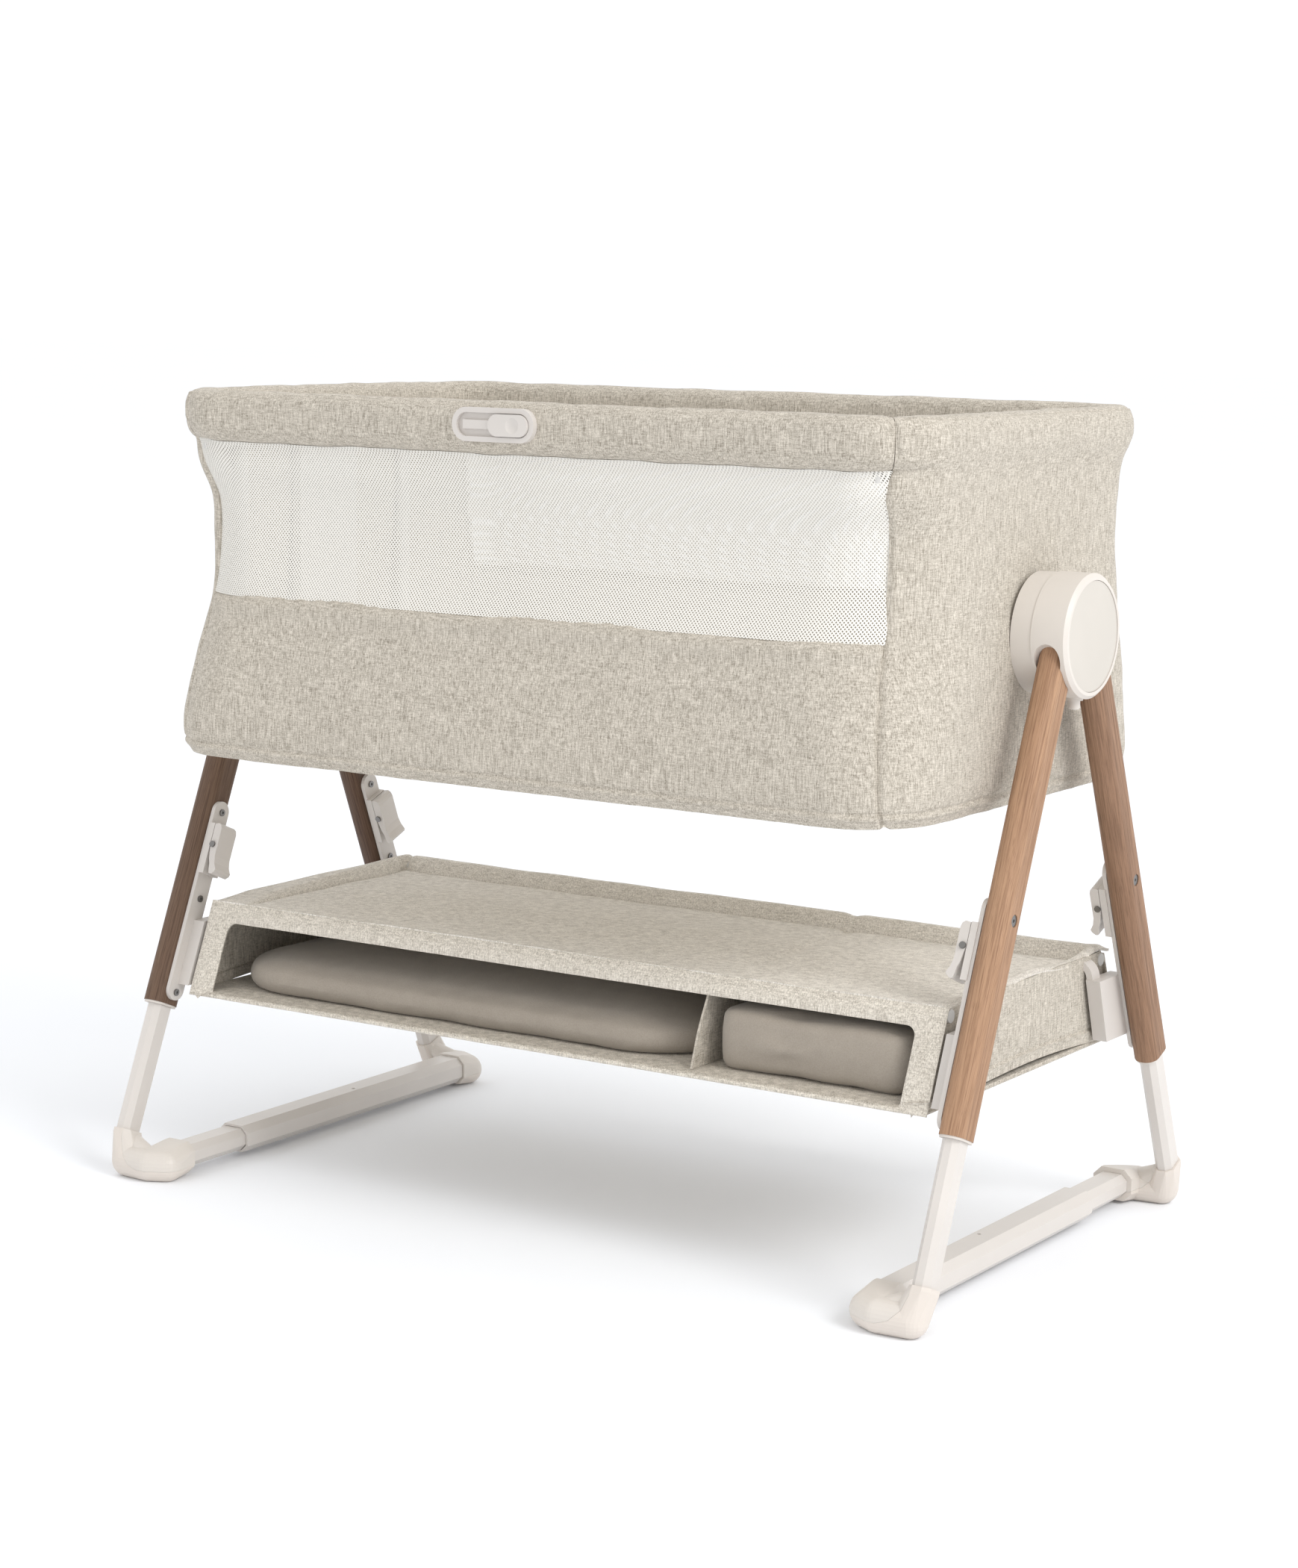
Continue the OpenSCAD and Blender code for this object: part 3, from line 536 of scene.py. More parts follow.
class Nodes:
    """Short ways to add and join shader nodes."""

    def __init__(self, name):
        self.mat = bpy.data.materials.new(name)
        self.mat.use_nodes = True
        self.tree = self.mat.node_tree
        self.shader = self.tree.nodes["Principled BSDF"]

    def add(self, kind, **sockets):
        node = self.tree.nodes.new(kind)
        for key, value in sockets.items():
            socket = key.replace("_", " ")
            if socket in node.inputs:
                self.put(node.inputs[socket], value)
            else:
                setattr(node, key, value)
        return node

    def put(self, socket, value):
        if isinstance(value, bpy.types.NodeSocket):
            self.tree.links.new(value, socket)
        else:
            socket.default_value = value

    def coords(self, attribute=None):
        if attribute:
            node = self.tree.nodes.new("ShaderNodeAttribute")
            node.attribute_name = attribute
            return node.outputs["Vector"]
        return self.tree.nodes.new("ShaderNodeTexCoord").outputs["Object"]

    def scaled(self, vector, scale, rotation=(0, 0, 0)):
        node = self.add("ShaderNodeMapping", Vector=vector, Scale=scale, Rotation=rotation)
        return node.outputs["Vector"]

    def noise(self, vector, scale, detail=2.0, roughness=0.5):
        node = self.add(
            "ShaderNodeTexNoise", Vector=vector, Scale=scale, Detail=detail, Roughness=roughness
        )
        return node.outputs["Fac"]

    def math(self, operation, a, b=None, clamp=False):
        node = self.tree.nodes.new("ShaderNodeMath")
        node.operation = operation
        node.use_clamp = clamp
        self.put(node.inputs[0], a)
        if b is not None:
            self.put(node.inputs[1], b)
        return node.outputs[0]

    def spread(self, value, lo, hi, out_lo=0.0, out_hi=1.0):
        node = self.tree.nodes.new("ShaderNodeMapRange")
        node.clamp = True
        sockets = ("Value", "From Min", "From Max", "To Min", "To Max")
        for socket, v in zip(sockets, (value, lo, hi, out_lo, out_hi)):
            self.put(node.inputs[socket], v)
        return node.outputs["Result"]

    def blend(self, factor, a, b):
        node = self.tree.nodes.new("ShaderNodeMix")
        node.data_type = "RGBA"
        self.put(node.inputs["Factor"], factor)
        self.put(node.inputs["A"], a)
        self.put(node.inputs["B"], b)
        return node.outputs["Result"]

    def bump(self, height, distance, strength=1.0):
        node = self.tree.nodes.new("ShaderNodeBump")
        self.put(node.inputs["Height"], height)
        node.inputs["Distance"].default_value = distance
        node.inputs["Strength"].default_value = strength
        return node.outputs["Normal"]

    def finish(self, **sockets):
        for key, value in sockets.items():
            self.put(self.shader.inputs[key.replace("_", " ")], value)
        return self.mat


def oat_fabric(name, dark, light, streak=0.42):
    """Melange upholstery cloth: pale and dark fibres, with faint upright slubs."""
    m = Nodes(name)
    p = m.coords()
    fibres = m.noise(p, 1500, 2.0, 0.6)
    clumps = m.noise(p, 820, 2.0, 0.5)
    patches = m.noise(p, 80, 2.0)
    upright = m.noise(m.scaled(p, (1000, 1000, 95)), 1.0, 2.0)
    across = m.noise(m.scaled(p, (150, 150, 1150)), 1.0, 2.0)
    mix = m.math("MULTIPLY", m.spread(fibres, 0.3, 0.7), 0.30)
    shares = ((clumps, 0.14), (upright, streak * 0.9), (across, streak * 0.6), (patches, 0.05))
    for threads, share in shares:
        mix = m.math("ADD", mix, m.math("MULTIPLY", m.spread(threads, 0.3, 0.7), share))
    colour = m.blend(m.spread(mix, 0.22, 0.85), dark, light)
    relief = m.math("ADD", m.math("MULTIPLY", fibres, 0.6), m.math("MULTIPLY", upright, 0.5))
    return m.finish(
        Base_Color=colour, Roughness=0.92, Normal=m.bump(relief, 0.0006, 0.6),
        Sheen_Weight=0.12, Sheen_Roughness=0.5, Specular_IOR_Level=0.15,
    )


def plain_cloth(name, dark, light, scale=900):
    m = Nodes(name)
    p = m.coords()
    weave = m.noise(p, scale, 2.0, 0.6)
    cloud = m.noise(p, 60, 2.0)
    mix = m.math("ADD", m.math("MULTIPLY", weave, 0.7), m.math("MULTIPLY", cloud, 0.3))
    colour = m.blend(mix, dark, light)
    return m.finish(
        Base_Color=colour, Roughness=0.9, Normal=m.bump(weave, 0.0004, 0.5),
        Sheen_Weight=0.2, Specular_IOR_Level=0.15,
    )


def mesh_cloth(name, colour, pitch=0.0034, hole=0.62):
    """Warp-knit netting: diamond holes between soft threads."""
    m = Nodes(name)
    p = m.coords("cloth")
    split = m.add("ShaderNodeSeparateXYZ", Vector=p)
    u, v = split.outputs["X"], split.outputs["Y"]
    parts = []
    for operation in ("ADD", "SUBTRACT"):
        d = m.math("DIVIDE", m.math(operation, u, m.math("MULTIPLY", v, 0.9)), pitch)
        saw = m.math("ABSOLUTE", m.math("SUBTRACT", m.math("FRACT", d), 0.5))
        parts.append(m.math("MULTIPLY", saw, 2.0))
    nearest = m.math("MAXIMUM", parts[0], parts[1])
    thread = m.spread(nearest, hole - 0.06, hole + 0.06)
    fibres = m.noise(m.coords(), 1500, 1.0)
    tone = m.blend(fibres, tuple(c * 0.9 for c in colour[:3]) + (1,), colour)
    return m.finish(
        Base_Color=tone, Roughness=0.75, Alpha=thread,
        Normal=m.bump(nearest, 0.0005, 0.5), Specular_IOR_Level=0.25,
    )


def wood(name, lean, dark, mid, light):
    """Printed wood with a fine straight grain along a leg that leans by the given angle."""
    m = Nodes(name)
    p = m.scaled(m.coords(), (1, 1, 1), (lean, 0, 0))
    grain = m.noise(m.scaled(p, (800, 800, 20)), 1.0, 4.0, 0.65)
    broad = m.noise(m.scaled(p, (70, 70, 2.2)), 1.0, 3.0, 0.55)
    pores = m.noise(m.scaled(p, (1700, 1700, 90)), 1.0, 1.0)
    colour = m.blend(m.spread(broad, 0.35, 0.65), mid, light)
    colour = m.blend(m.spread(grain, 0.42, 0.80), colour, dark)
    colour = m.blend(m.math("MULTIPLY", m.spread(pores, 0.60, 0.75), 0.45), colour, dark)
    return m.finish(
        Base_Color=colour, Roughness=m.spread(grain, 0.3, 0.7, 0.5, 0.66),
        Normal=m.bump(m.math("ADD", grain, m.math("MULTIPLY", pores, 0.4)), 0.0004, 0.25),
        Specular_IOR_Level=0.35,
    )


SHADE = 0.95
ROUGH_SPREAD = 0.04


def hard(name, colour, roughness, grain_scale=2200, relief=0.00012, metallic=0.0):
    """Moulded plastic, paint or metal with a fine surface grain and slight tone changes."""
    m = Nodes(name)
    p = m.coords()
    fine = m.noise(p, grain_scale, 2.0)
    cloud = m.noise(p, 14, 2.0)
    shade = tuple(c * SHADE for c in colour[:3]) + (1,)
    tone = m.blend(m.spread(cloud, 0.3, 0.7), shade, colour)
    return m.finish(
        Base_Color=tone, Metallic=metallic,
        Roughness=m.spread(fine, 0.3, 0.7, roughness - ROUGH_SPREAD, roughness + ROUGH_SPREAD),
        Normal=m.bump(fine, relief, 0.4),
    )


OAT_DARK, OAT_LIGHT = srgb(133, 125, 112), srgb(219, 211, 198)
MATERIALS = {
    "oat_fabric": oat_fabric("oat_fabric", OAT_DARK, OAT_LIGHT),
    # the oat fabric again, paler: painted light on the shelf's front frame, which lies in the
    # crib's shade
    "oat_fabric_painted_light_frame": oat_fabric("oat_fabric_painted_light_frame", srgb(160, 152, 140), srgb(238, 231, 219)),
    # the oat fabric again, paler: painted light on the tray top, which lies in shade under the crib
    "oat_fabric_painted_light_tray": oat_fabric("oat_fabric_painted_light_tray", srgb(172, 165, 155), srgb(246, 241, 232)),
    # the oat fabric again, paler: painted light on the crib's floor, which lies in shade inside the
    # crib
    "oat_fabric_painted_light_crib_floor": oat_fabric("oat_fabric_painted_light_crib_floor", srgb(208, 201, 188), srgb(250, 244, 232)),
    "mesh_fabric": mesh_cloth("mesh_fabric", srgb(239, 236, 229), hole=0.52),
    "pad_fabric": plain_cloth("pad_fabric", srgb(138, 129, 118), srgb(176, 167, 155)),
    "mattress_fabric": plain_cloth("mattress_fabric", srgb(225, 221, 214), srgb(243, 240, 235)),
    "cream_plastic": hard("cream_plastic", srgb(216, 209, 201), 0.42),
    # the cream plastic again, darker: painted shade on the hub caps' faces, which catch the key
    # light full on
    "cream_plastic_painted_shade_cap": hard("cream_plastic_painted_shade_cap", srgb(202, 196, 187), 0.42),
    "grey_plastic": hard("grey_plastic", srgb(210, 204, 198), 0.45),
    "sole_rubber": hard("sole_rubber", srgb(220, 211, 202), 0.5),
    "cream_paint": hard("cream_paint", srgb(214, 208, 202), 0.32, relief=0.00005),
    "screw_steel": hard("screw_steel", srgb(134, 132, 130), 0.38, metallic=1.0),
    "frame_paint": hard("frame_paint", srgb(206, 204, 200), 0.4),
    "board": hard("board", srgb(196, 170, 134), 0.7, grain_scale=300),
}
# One wood on all four legs, with painted shade in the tones: the left legs much darker, as their
# inner faces lie in the crib's shadow, and the rear right leg a little darker
LEG_WOOD_WITH_PAINTED_SHADE = {
    "front_right": (srgb(114, 82, 60), srgb(166, 129, 100), srgb(180, 143, 113)),
    "rear_right": (srgb(94, 68, 50), srgb(146, 113, 89), srgb(160, 126, 101)),
    "front_left": (srgb(64, 45, 34), srgb(102, 79, 63), srgb(116, 92, 74)),
    "rear_left": (srgb(58, 41, 32), srgb(92, 71, 57), srgb(106, 83, 68)),
}
# each leg's material carries its own painted shade from the tones above
WOOD = {
    leg: wood("wood_grain_" + leg, LEAN if leg.startswith("front") else -LEAN, *tones)
    for leg, tones in LEG_WOOD_WITH_PAINTED_SHADE.items()
}


def dress(obj, slot, look=None):
    obj.data.materials.clear()
    obj.data.materials.append(MATERIALS[look or slot])
    return obj


for entry in frame["record"]["subparts"]:
    node, slot = entry["node"], entry["material_slot"]
    if slot == "wood_grain":
        material = WOOD[node.split("_", 1)[1]]
    else:
        # hub caps take the darker copy of the cream plastic, painted shade
        material = MATERIALS["cream_plastic_painted_shade_cap" if node.startswith("hub_cap") else slot]
    obj = frame["nodes"][node]
    if obj.data.materials:
        for k in range(len(obj.data.materials)):
            obj.data.materials[k] = material
    else:
        obj.data.materials.append(material)

# ---- Crib fabric ------------------------------------------------------------------

SKIN = 0.0018
PIPING = 0.009


def end_panel(side):
    sign = 1 if side == "right" else -1
    heights = spaced(CRIB_LO, ROW_Z[-1], 0.0045, spots=(CRIB_LO, CRIB_LO + PIPING))
    p = rows_to_points([end_row(z, 20, 66) for z in heights], heights)
    dist = edge_dist(p)
    away = grid_normals(p)
    if away[len(p) // 2, 10, 0] < 0:
        away = -away
    rise = 0.0009 * ripple(p, 0.09, 3 + sign) + 0.0004 * ripple(p, 0.03, 5 + sign)
    rise -= bell(dist, 0.0034, 0.0026)
    piping = heights - (CRIB_LO + PIPING)
    rise += (0.0016 * np.exp(-((piping / 0.0022) ** 2)))[None, :]
    rise -= (0.0012 * np.exp(-(((piping - 0.0042) / 0.0016) ** 2)))[None, :]
    p = p + away * rise[:, :, None]
    p[:, :, 0] *= sign
    name = "end_fabric_" + side
    obj = dress(sheet_piece(name, p, SKIN, outward_x(sign)), "oat_fabric")
    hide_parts("end_panel_" + side)
    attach(obj, "cradle")
    length, height = cloth_size(p)


def lower_panel(side):
    sign = -1 if side == "front" else 1
    heights = spaced(CRIB_LO, MESH_LO, 0.0040, spots=(CRIB_LO, CRIB_LO + PIPING, MESH_LO))
    p = side_points(CRIB_LO, MESH_LO, heights, rear=side == "rear")
    away = grid_normals(p)
    if away[len(p) // 2, 10, 1] * sign < 0:
        away = -away
    dist = edge_dist(p)
    below = MESH_LO - heights
    pucker = np.sin(p[:, :, 0] * 2 * math.pi / 0.019 + 2.2 * np.sin(p[:, :, 0] * 37))
    rise = 0.0008 * ripple(p, 0.11, 11 + sign) + 0.0003 * ripple(p, 0.03, 12 + sign)
    rise += 0.0022 * (np.exp(-(((below - 0.010) / 0.007) ** 2)))[None, :]
    rise += 0.0006 * pucker * np.exp(-below / 0.010)[None, :]
    rise -= (0.0034 * np.exp(-((below / 0.0017) ** 2)))[None, :]
    rise -= bell(dist, 0.0036, 0.0028)
    piping = heights - (CRIB_LO + PIPING)
    rise += (0.0016 * np.exp(-((piping / 0.0022) ** 2)))[None, :]
    rise -= (0.0012 * np.exp(-(((piping - 0.0042) / 0.0016) ** 2)))[None, :]
    p = p + away * rise[:, :, None]
    wave = 0.0010 * np.sin(p[:, -1, 0] * 21) + 0.0006 * np.sin(p[:, -1, 0] * 63 + 1)
    lift = np.clip(1 - below / 0.03, 0, 1)
    p[:, :, 2] += wave[:, None] * lift[None, :]
    obj = dress(sheet_piece("lower_fabric_" + side, p, SKIN, outward_y(sign)), "oat_fabric")
    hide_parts("lower_panels")
    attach(obj, "cradle")
    length, height = cloth_size(p)


def crib_bottom():
    a, b, r, _ = row(CRIB_LO)
    ring = plan_ring(a - 0.0022, b - 0.0022, r - 0.0022, 12, 60, 30)
    rings = []
    for f in np.linspace(0, 0.985, 40):
        k = ring * (1 - f)
        sag = CRIB_LO + 0.0012 - 0.0010 * math.sin(math.pi / 2 * min(1, f * 2))
        rings.append(np.concatenate([k, np.full((len(k), 1), sag)], axis=1))
    p = np.array(rings)
    p[:, :, 2] += 0.0004 * ripple(p, 0.12, 41)
    n, m = p.shape[:2]
    top = p + [0, 0, SKIN]
    verts = np.concatenate([p.reshape(-1, 3), top.reshape(-1, 3)])
    faces = []
    for i in range(n - 1):
        for j in range(m):
            k = (j + 1) % m
            faces.append((i * m + j, (i + 1) * m + j, (i + 1) * m + k, i * m + k))
            upper = (i * m + k, (i + 1) * m + k, (i + 1) * m + j, i * m + j)
            faces.append(tuple(n * m + v for v in upper))
    faces.append(tuple((n - 1) * m + j for j in reversed(range(m))))
    faces.append(tuple(n * m + (n - 1) * m + j for j in range(m)))
    for j in range(m):
        k = (j + 1) % m
        faces.append((j, k, n * m + k, n * m + j))
    # the crib's floor wears the paler copy of the oat fabric, painted light inside the shaded crib
    obj = dress(make_mesh("crib_bottom", verts, faces), "oat_fabric", "oat_fabric_painted_light_crib_floor")
    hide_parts("lower_panels")
    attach(obj, "cradle")


def netting(side):
    top = RIM_LO + 0.002
    base = MESH_LO - 0.002
    p = side_points(base, top, 46, sag=0.010, rear=side == "rear")
    sign = -1 if side == "front" else 1
    dist = edge_dist(p)
    scallop = 0.0035 * np.exp(-dist / 0.03)
    t = np.linspace(0, 1, p.shape[1])
    p[:, :, 1] -= sign * 0.0015 * np.ones_like(dist)
    p[:, :, 1] -= sign * (scallop * np.sin(math.pi * t)[None, :])
    obj = dress(sheet_piece("netting_" + side, p, 0.0007, outward_y(sign)), "mesh_fabric")
    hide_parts("mesh_" + side)
    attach(obj, "cradle")
    length, height = cloth_size(p)
    if side == "front":
        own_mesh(obj)


QUARTER = FRAME_R * math.pi / 2
STRAIGHT_X, STRAIGHT_Y = FRAME_L - FRAME_R, FRAME_W - FRAME_R
TOTAL = 4 * (STRAIGHT_X + STRAIGHT_Y + QUARTER)
SEAM_AT = STRAIGHT_X + FRAME_R * SEAM_ANGLE
CLEAR = 0.0003

rim_roll = swept_roll("rim_roll", SEAM_AT + CLEAR, TOTAL - SEAM_AT - CLEAR, 21)
dress(rim_roll, "oat_fabric")
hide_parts("rim_cover")
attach(rim_roll, "cradle")
drop_roll = dress(swept_roll("drop_side_roll", CLEAR - SEAM_AT, SEAM_AT - CLEAR, 22), "oat_fabric")
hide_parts("drop_rail_cover")
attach(drop_roll, "drop_side")
for side in ("left", "right"):
    end_panel(side)
for side in ("front", "rear"):
    lower_panel(side)
    netting(side)
crib_bottom()

# ---- Mattress ---------------------------------------------------------------------

m_lo, m_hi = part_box("mattress")
half_l, half_w = (m_hi.x - m_lo.x) / 2 - 0.004, (m_hi.y - m_lo.y) / 2 - 0.004
thick = m_hi.z - m_lo.z
mattress = lofted(
    "mattress_cover", (0, 0), half_l, half_w, FRAME_R,
    pad_profile(m_lo.z, thick, 0.012, 0.003, half_w, seams=(0.010, thick - 0.013)), 31, 0.0012,
)
dress(inflate(mattress, 0.006, 3.0, 0.003), "mattress_fabric")
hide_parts("mattress")
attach(mattress, "cradle")

# ---- Shelf ------------------------------------------------------------------------

def shelf_rect(x0, x1, z0, z1, y_sign, nx, nz, inset=0.0):
    x = np.linspace(x0, x1, nx)
    z = np.linspace(z0, z1, nz)
    p = np.zeros((nx, nz, 3))
    p[:, :, 0] = x[:, None]
    p[:, :, 2] = z[None, :]
    p[:, :, 1] = (y_sign * (np.array([shelf_y(v) for v in z]) - inset))[None, :]
    return p


def shelf_front():
    """Front frame of the shelf: fascia, two side bands and floor hem round one opening."""
    outer_x, inner_x = SHELF_L, SHELF_L - 0.027
    z_lo, z_hi, in_lo, in_hi = SHELF_LO, SHELF_HI - 0.001, SHELF_LO + 0.0045, SHELF_HI - 0.020
    mid_z, half_z = (in_lo + in_hi) / 2, (in_hi - in_lo) / 2
    inner, outer = [], []
    radius_top, radius_low = 0.009, 0.004
    ring = []
    for sx, sz in ((1, -1), (1, 1), (-1, 1), (-1, -1)):
        r = radius_top if sz > 0 else radius_low
        first = {(1, -1): -90, (1, 1): 0, (-1, 1): 90, (-1, -1): 180}[(sx, sz)]
        for k in range(13):
            t = math.radians(first + 90 * k / 12)
            x = sx * (inner_x - r) + r * math.cos(t)
            z = mid_z + sz * (half_z - r) + r * math.sin(t)
            ring.append((x, z, t, sx, sz))
    for k, here in enumerate(ring):
        there = ring[(k + 1) % len(ring)]
        gap = math.hypot(there[0] - here[0], there[1] - here[1])
        steps = max(1, int(gap / 0.008))
        for j in range(steps):
            f = j / steps
            x, z = here[0] + (there[0] - here[0]) * f, here[1] + (there[1] - here[1]) * f
            inner.append((x, z))
            if steps > 1:
                side_x = abs(abs(here[0] - there[0])) < 1e-6
                if side_x:
                    out_z = np.interp(z, [in_lo, in_hi], [z_lo, z_hi])
                    outer.append((math.copysign(outer_x, x), out_z))
                else:
                    outer.append((x / inner_x * outer_x, z_hi if z > mid_z else z_lo))
            else:
                cx, cz = here[3] * outer_x, z_hi if here[4] > 0 else z_lo
                turn = math.degrees(here[2]) % 90
                t = turn / 90 if abs(turn) > 1e-6 else float(k % 13 != 0)
                r = 0.014
                if (here[3], here[4]) in ((1, -1), (-1, 1)):
                    off = (1 - t, t)
                else:
                    off = (t, 1 - t)
                over_x = max(0, 1 - 2 * off[1]) if off[0] > off[1] else 0
                over_z = max(0, 1 - 2 * off[0]) if off[1] > off[0] else 0
                outer.append((cx - here[3] * r * over_x, cz - here[4] * r * over_z))
    inner, outer = np.array(inner), np.array(outer)
    levels = np.linspace(0, 1, 9)
    p = np.zeros((len(inner), len(levels), 3))
    for k, f in enumerate(levels):
        q = inner * (1 - f) + outer * f
        bulge = 0.0022 * math.sin(math.pi * f) ** 0.6
        p[:, k, 0] = q[:, 0]
        p[:, k, 2] = q[:, 1]
        p[:, k, 1] = -np.array([shelf_y(v) for v in q[:, 1]]) - bulge + 0.0012
    p = np.concatenate([p, p[:1]])
    p[:, :, 1] += 0.0004 * ripple(p, 0.05, 51)
    p[-1] = p[0]
    obj = sheet_piece("shelf_front_frame", p, 0.0026, outward_y(-1))
    # the front frame wears the paler copy of the oat fabric, painted light against the crib's shade
    dress(obj, "oat_fabric", "oat_fabric_painted_light_frame")
    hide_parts("shelf_basket", "shelf_top")
    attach(obj, "stand")


def shelf_back():
    p = shelf_rect(-SHELF_L, SHELF_L, SHELF_LO + 0.001, SHELF_HI - 0.004, 1, 160, 26, 0.0005)
    p[:, :, 1] += 0.0012 * ripple(p, 0.12, 52)
    obj = dress(sheet_piece("shelf_back", p, 0.0022, outward_y(1)), "oat_fabric")
    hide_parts("shelf_basket")
    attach(obj, "stand")


def shelf_end(side):
    sign = 1 if side == "right" else -1
    n_y, n_z = 70, 34
    p = np.zeros((n_y, n_z, 3))
    t = np.linspace(0, 1, n_z)
    u = np.linspace(-1, 1, n_y)
    for i, v in enumerate(u):
        bottom = SHELF_LO + 0.010 * (1 - v * v)
        for j, f in enumerate(t):
            z = bottom + (SHELF_HI - 0.002 - bottom) * f
            y = v * (shelf_y(z) - 0.0012)
            p[i, j] = (sign * (SHELF_L - 0.0008), y, z)
    height = p[:, :, 2] - p[:, :1, 2]
    rise = 0.0007 * ripple(p, 0.09, 53 + sign)
    rise += bell(height - 0.009, 0.0014, 0.0018) - bell(height - 0.0125, 0.0010, 0.0014)
    rise -= 0.0018 * (1 - np.minimum(1, (1 - np.abs(u)) * 9))[:, None]
    p[:, :, 0] += sign * (rise - 0.0004)
    obj = dress(sheet_piece("shelf_end_" + side, p, 0.0022, outward_x(sign)), "oat_fabric")
    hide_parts("shelf_basket")
    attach(obj, "stand")


def shelf_floor():
    a, b = SHELF_L - 0.001, shelf_y(SHELF_LO) - 0.001
    profile = [
        (b * NEAR_MIDDLE, SHELF_LO), (0.004, SHELF_LO), (0.001, SHELF_LO + 0.0008),
        (0.0, SHELF_LO + 0.003), (0.001, SHELF_BASE - 0.0012),
        (0.004, SHELF_BASE - 0.0004), (b * NEAR_MIDDLE, SHELF_BASE - 0.0004),
    ]
    obj = dress(lofted("shelf_floor", (0, 0), a, b, 0.004, profile, 54, 0.0, 40), "oat_fabric")
    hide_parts("shelf_basket")
    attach(obj, "stand")


FLAP = 0.046
RIM_WIDE = 0.024
LEFT_FINE = tuple(-SHELF_L + FLAP * part for part in (0.15, 0.4, 0.65, 0.9))


def ease(t):
    t = np.clip(t, 0, 1)
    return t * t * (3 - 2 * t)


def tray_height(x, y):
    """Top surface of the shelf: a shallow tray with raised lips at the back and both ends."""
    depth = (y + SHELF_Y) / (2 * SHELF_Y)
    z = SHELF_HI - 0.001 - 0.010 * np.clip(depth / 0.93, 0, 1) ** 1.2
    rear_seam = SHELF_Y - RIM_WIDE
    z += 0.013 * ease((y - rear_seam) / 0.013)
    z -= 0.0050 * np.exp(-(((y - rear_seam) / 0.0020) ** 2))
    left_in = FLAP * (1 - 0.70 * np.clip(depth, 0, 1)) - (SHELF_L + x)
    right_in = x - (SHELF_L - 0.020)
    flap = ease(left_in / 0.010) * np.clip(depth * 6, 0, 1)
    z = z * (1 - flap) + (SHELF_HI + 0.002) * flap
    z -= 0.0056 * np.exp(-((left_in / 0.0020) ** 2)) * np.clip(depth * 6, 0, 1)
    wave = 0.003 * np.sin(math.pi * np.clip(depth, 0, 1)) + 0.0022 * np.sin(depth * 15)
    lip = ease(right_in / 0.012)
    z = z * (1 - lip) + (SHELF_HI - 0.002 + wave + 0.003 * ease((depth - 0.85) / 0.1)) * lip
    crease = (x - DIVIDER_X) + 0.05 * (depth - 0.5)
    z -= 0.0024 * np.exp(-((crease / 0.007) ** 2)) * np.clip(depth * 3 - 0.3, 0, 1)
    return np.minimum(z, SHELF_HI + 0.004)


def shelf_tray():
    x_spots, y_spots = LEFT_FINE + (DIVIDER_X,), (SHELF_Y - RIM_WIDE,)
    x = spaced(-SHELF_L + 0.001, SHELF_L - 0.001, 0.0045, fine=0.0012, spots=x_spots)
    y = spaced(-SHELF_Y + 0.0073, SHELF_Y + 0.006, 0.0040, fine=0.0011, spots=y_spots)
    p = np.zeros((len(x), len(y), 3))
    p[:, :, 0], p[:, :, 1] = x[:, None], y[None, :]
    p[:, :, 2] = tray_height(p[:, :, 0], p[:, :, 1])
    p[:, :, 2] += 0.0006 * ripple(p, 0.10, 55)
    round_x = np.clip(1 - (SHELF_L - np.abs(x)) / 0.006, 0, 1) ** 2
    round_y = np.clip(1 - (SHELF_Y - np.abs(y)) / 0.006, 0, 1) ** 2
    p[:, :, 2] -= 0.004 * np.maximum(round_x[:, None], round_y[None, :])
    obj = sheet_piece("shelf_tray", p, 0.0024, lambda q: np.array([0, 0, 1]))
    # the tray wears the paler copy of the oat fabric, painted light against the crib's shade
    dress(obj, "oat_fabric", "oat_fabric_painted_light_tray")
    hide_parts("shelf_top")
    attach(obj, "stand")


def shelf_divider():
    n_y, n_z = 60, 18
    p = np.zeros((n_y, n_z, 3))
    top = SHELF_JOIN + 0.002
    for i, v in enumerate(np.linspace(-1, 1, n_y)):
        for j, f in enumerate(np.linspace(0, 1, n_z)):
            z = SHELF_BASE + (top - SHELF_BASE) * f
            p[i, j] = (DIVIDER_X + 0.0012, v * (shelf_y(z) - 0.006), z)
    p[:, :, 0] += 0.0012 * ripple(p, 0.09, 56)
    obj = dress(sheet_piece("shelf_partition", p, 0.0022, outward_x(1)), "oat_fabric")
    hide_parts("shelf_divider")
    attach(obj, "stand")


shelf_front()
shelf_back()
shelf_end("left")
shelf_end("right")
shelf_floor()
shelf_tray()
shelf_divider()


def storage_pad(node, name, edge, radius, crown, seams, slack):
    lo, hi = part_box(node)
    a, b, h = (hi.x - lo.x) / 2 - 0.003, (hi.y - lo.y) / 2 - 0.003, hi.z - lo.z - slack
    centre = ((lo.x + hi.x) / 2, (lo.y + hi.y) / 2)
    profile = pad_profile(lo.z + 0.0002, h, edge, crown, b, seams)
    obj = lofted(name, centre, a, b, radius, profile, 61, 0.0015)
    dress(inflate(obj, 0.005, 4.0, 0.003), "pad_fabric")
    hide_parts(node)
    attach(obj, "stand")


storage_pad("storage_pad_long", "long_pad", 0.010, 0.075, 0.020, (0.028,), 0.007)
storage_pad("storage_pad_short", "short_pad", 0.008, 0.022, 0.004, (0.044,), 0.003)

# ---- Stage, light and camera --------------------------------------------------------

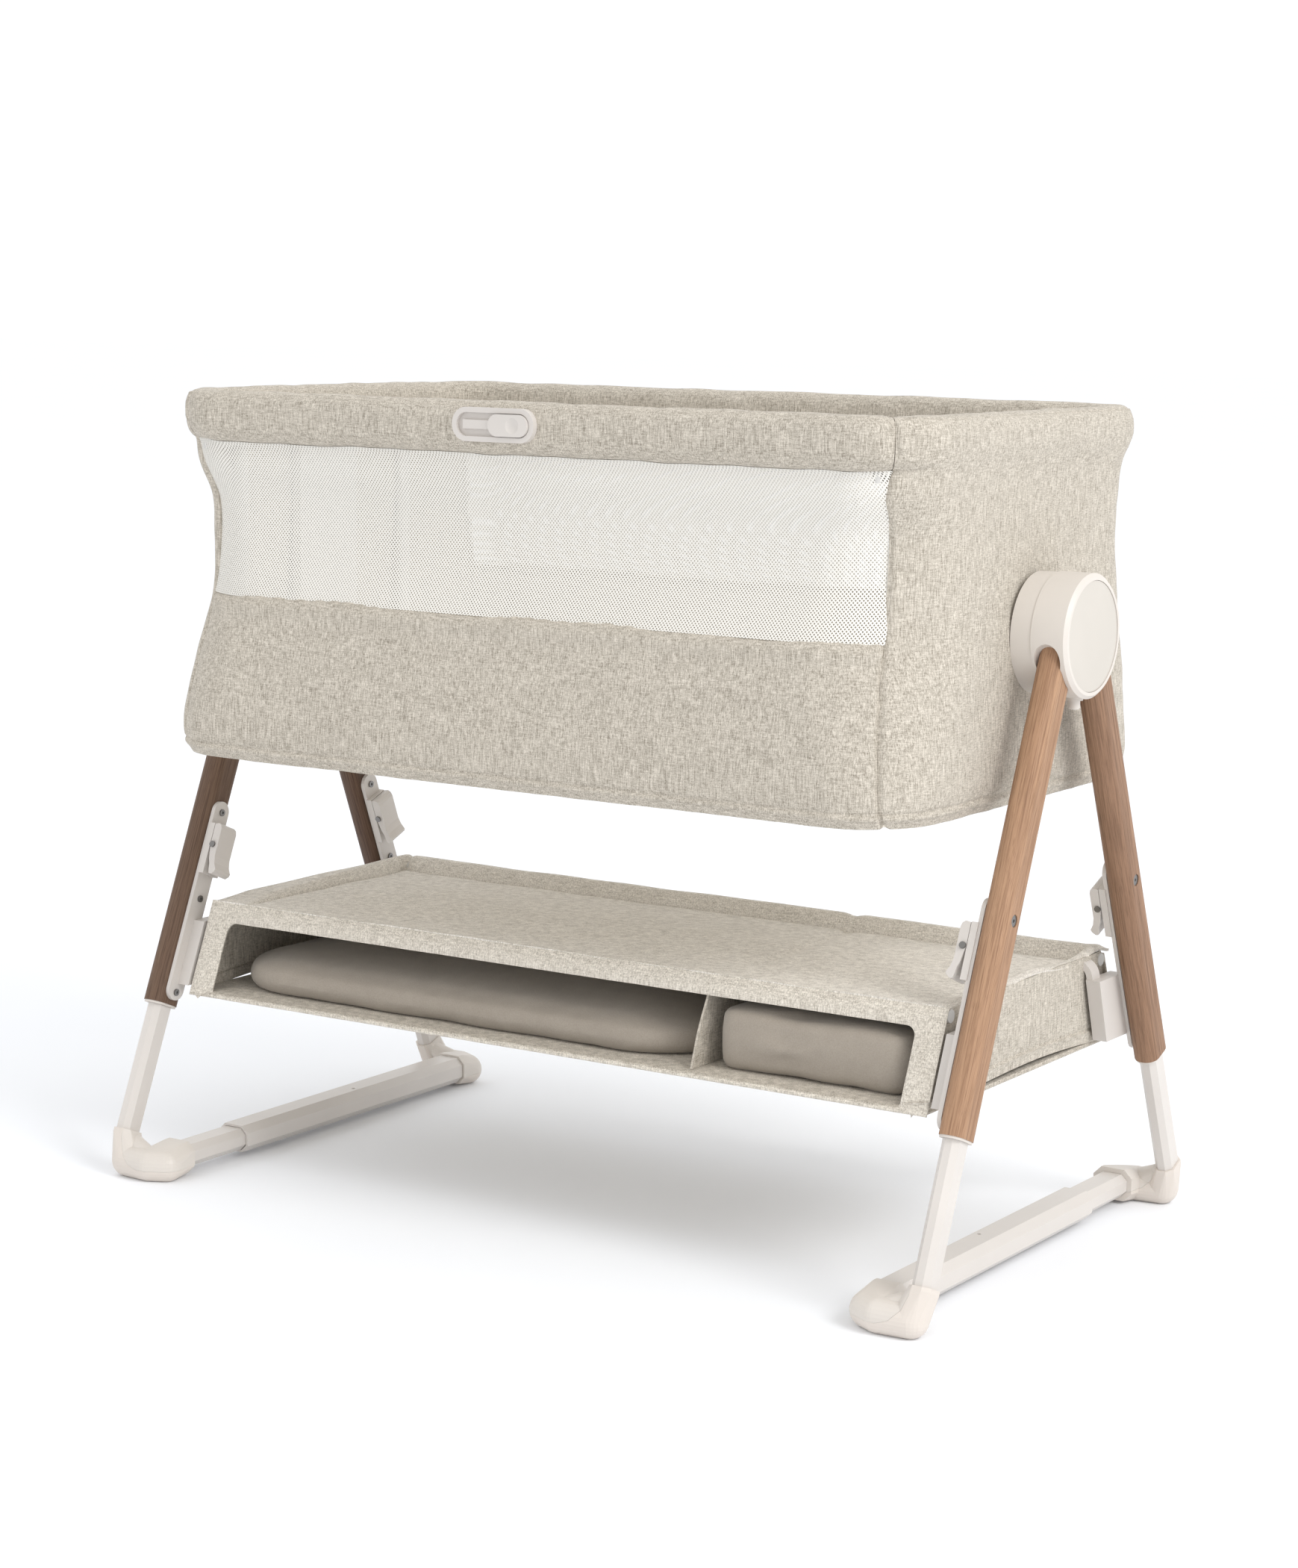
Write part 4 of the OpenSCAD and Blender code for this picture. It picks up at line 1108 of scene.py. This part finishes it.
def floor():
    size = 30
    mesh = bpy.data.meshes.new("floor")
    corners = [(-size, -size, 0), (size, -size, 0), (size, size, 0), (-size, size, 0)]
    mesh.from_pydata(corners, [], [(0, 1, 2, 3)])
    obj = collect(bpy.data.objects.new("floor", mesh))
    m = Nodes("floor")
    cloud = m.noise(m.coords(), 3, 2.0)
    tone = m.blend(cloud, srgb(247, 249, 253), srgb(250, 252, 255))
    m.finish(Base_Color=tone, Roughness=0.85, Specular_IOR_Level=0.1)
    mesh.materials.append(m.mat)


def area_light(name, place, target, size, power, colour=(1, 1, 1)):
    data = bpy.data.lights.new(name, "AREA")
    data.shape = "DISK"
    data.size = size
    data.energy = power
    data.color = colour
    obj = collect(bpy.data.objects.new(name, data))
    obj.location = place
    obj.rotation_euler = (Vector(target) - Vector(place)).to_track_quat("-Z", "Y").to_euler()


WORLD_STRENGTH = 1.06
KEY_AT, KEY_TOWARDS = (4.2, -1.0, 3.4), (0, 0, 0.5)
KEY_SIZE, KEY_WATTS = 2.2, 100

floor()
world = bpy.data.worlds.new("studio")
bpy.context.scene.world = world
world.use_nodes = True
world.node_tree.nodes["Background"].inputs["Color"].default_value = (1, 1, 1, 1)
world.node_tree.nodes["Background"].inputs["Strength"].default_value = WORLD_STRENGTH
area_light("key", KEY_AT, KEY_TOWARDS, KEY_SIZE, KEY_WATTS)

cam_data = bpy.data.cameras.new("Camera")
camera = collect(bpy.data.objects.new("Camera", cam_data))
bpy.context.scene.camera = camera
YAW, PITCH, ROLL = -0.5730, 0.1508, 0.0147
LENS = 75.845
CAMERA_AT = Vector((1.6866, -2.6111, 0.869))
ahead = Vector((math.sin(YAW) * math.cos(PITCH), math.cos(YAW) * math.cos(PITCH), -math.sin(PITCH)))
right = Vector((math.cos(YAW), -math.sin(YAW), 0))
up = right.cross(ahead)
rolled_right = math.cos(ROLL) * right + math.sin(ROLL) * up
rolled_up = math.cos(ROLL) * up - math.sin(ROLL) * right
camera.matrix_world = Matrix((
    (rolled_right.x, rolled_up.x, -ahead.x, CAMERA_AT.x),
    (rolled_right.y, rolled_up.y, -ahead.y, CAMERA_AT.y),
    (rolled_right.z, rolled_up.z, -ahead.z, CAMERA_AT.z),
    (0, 0, 0, 1),
))
cam_data.lens = LENS
bpy.context.scene.view_settings.view_transform = "Standard"
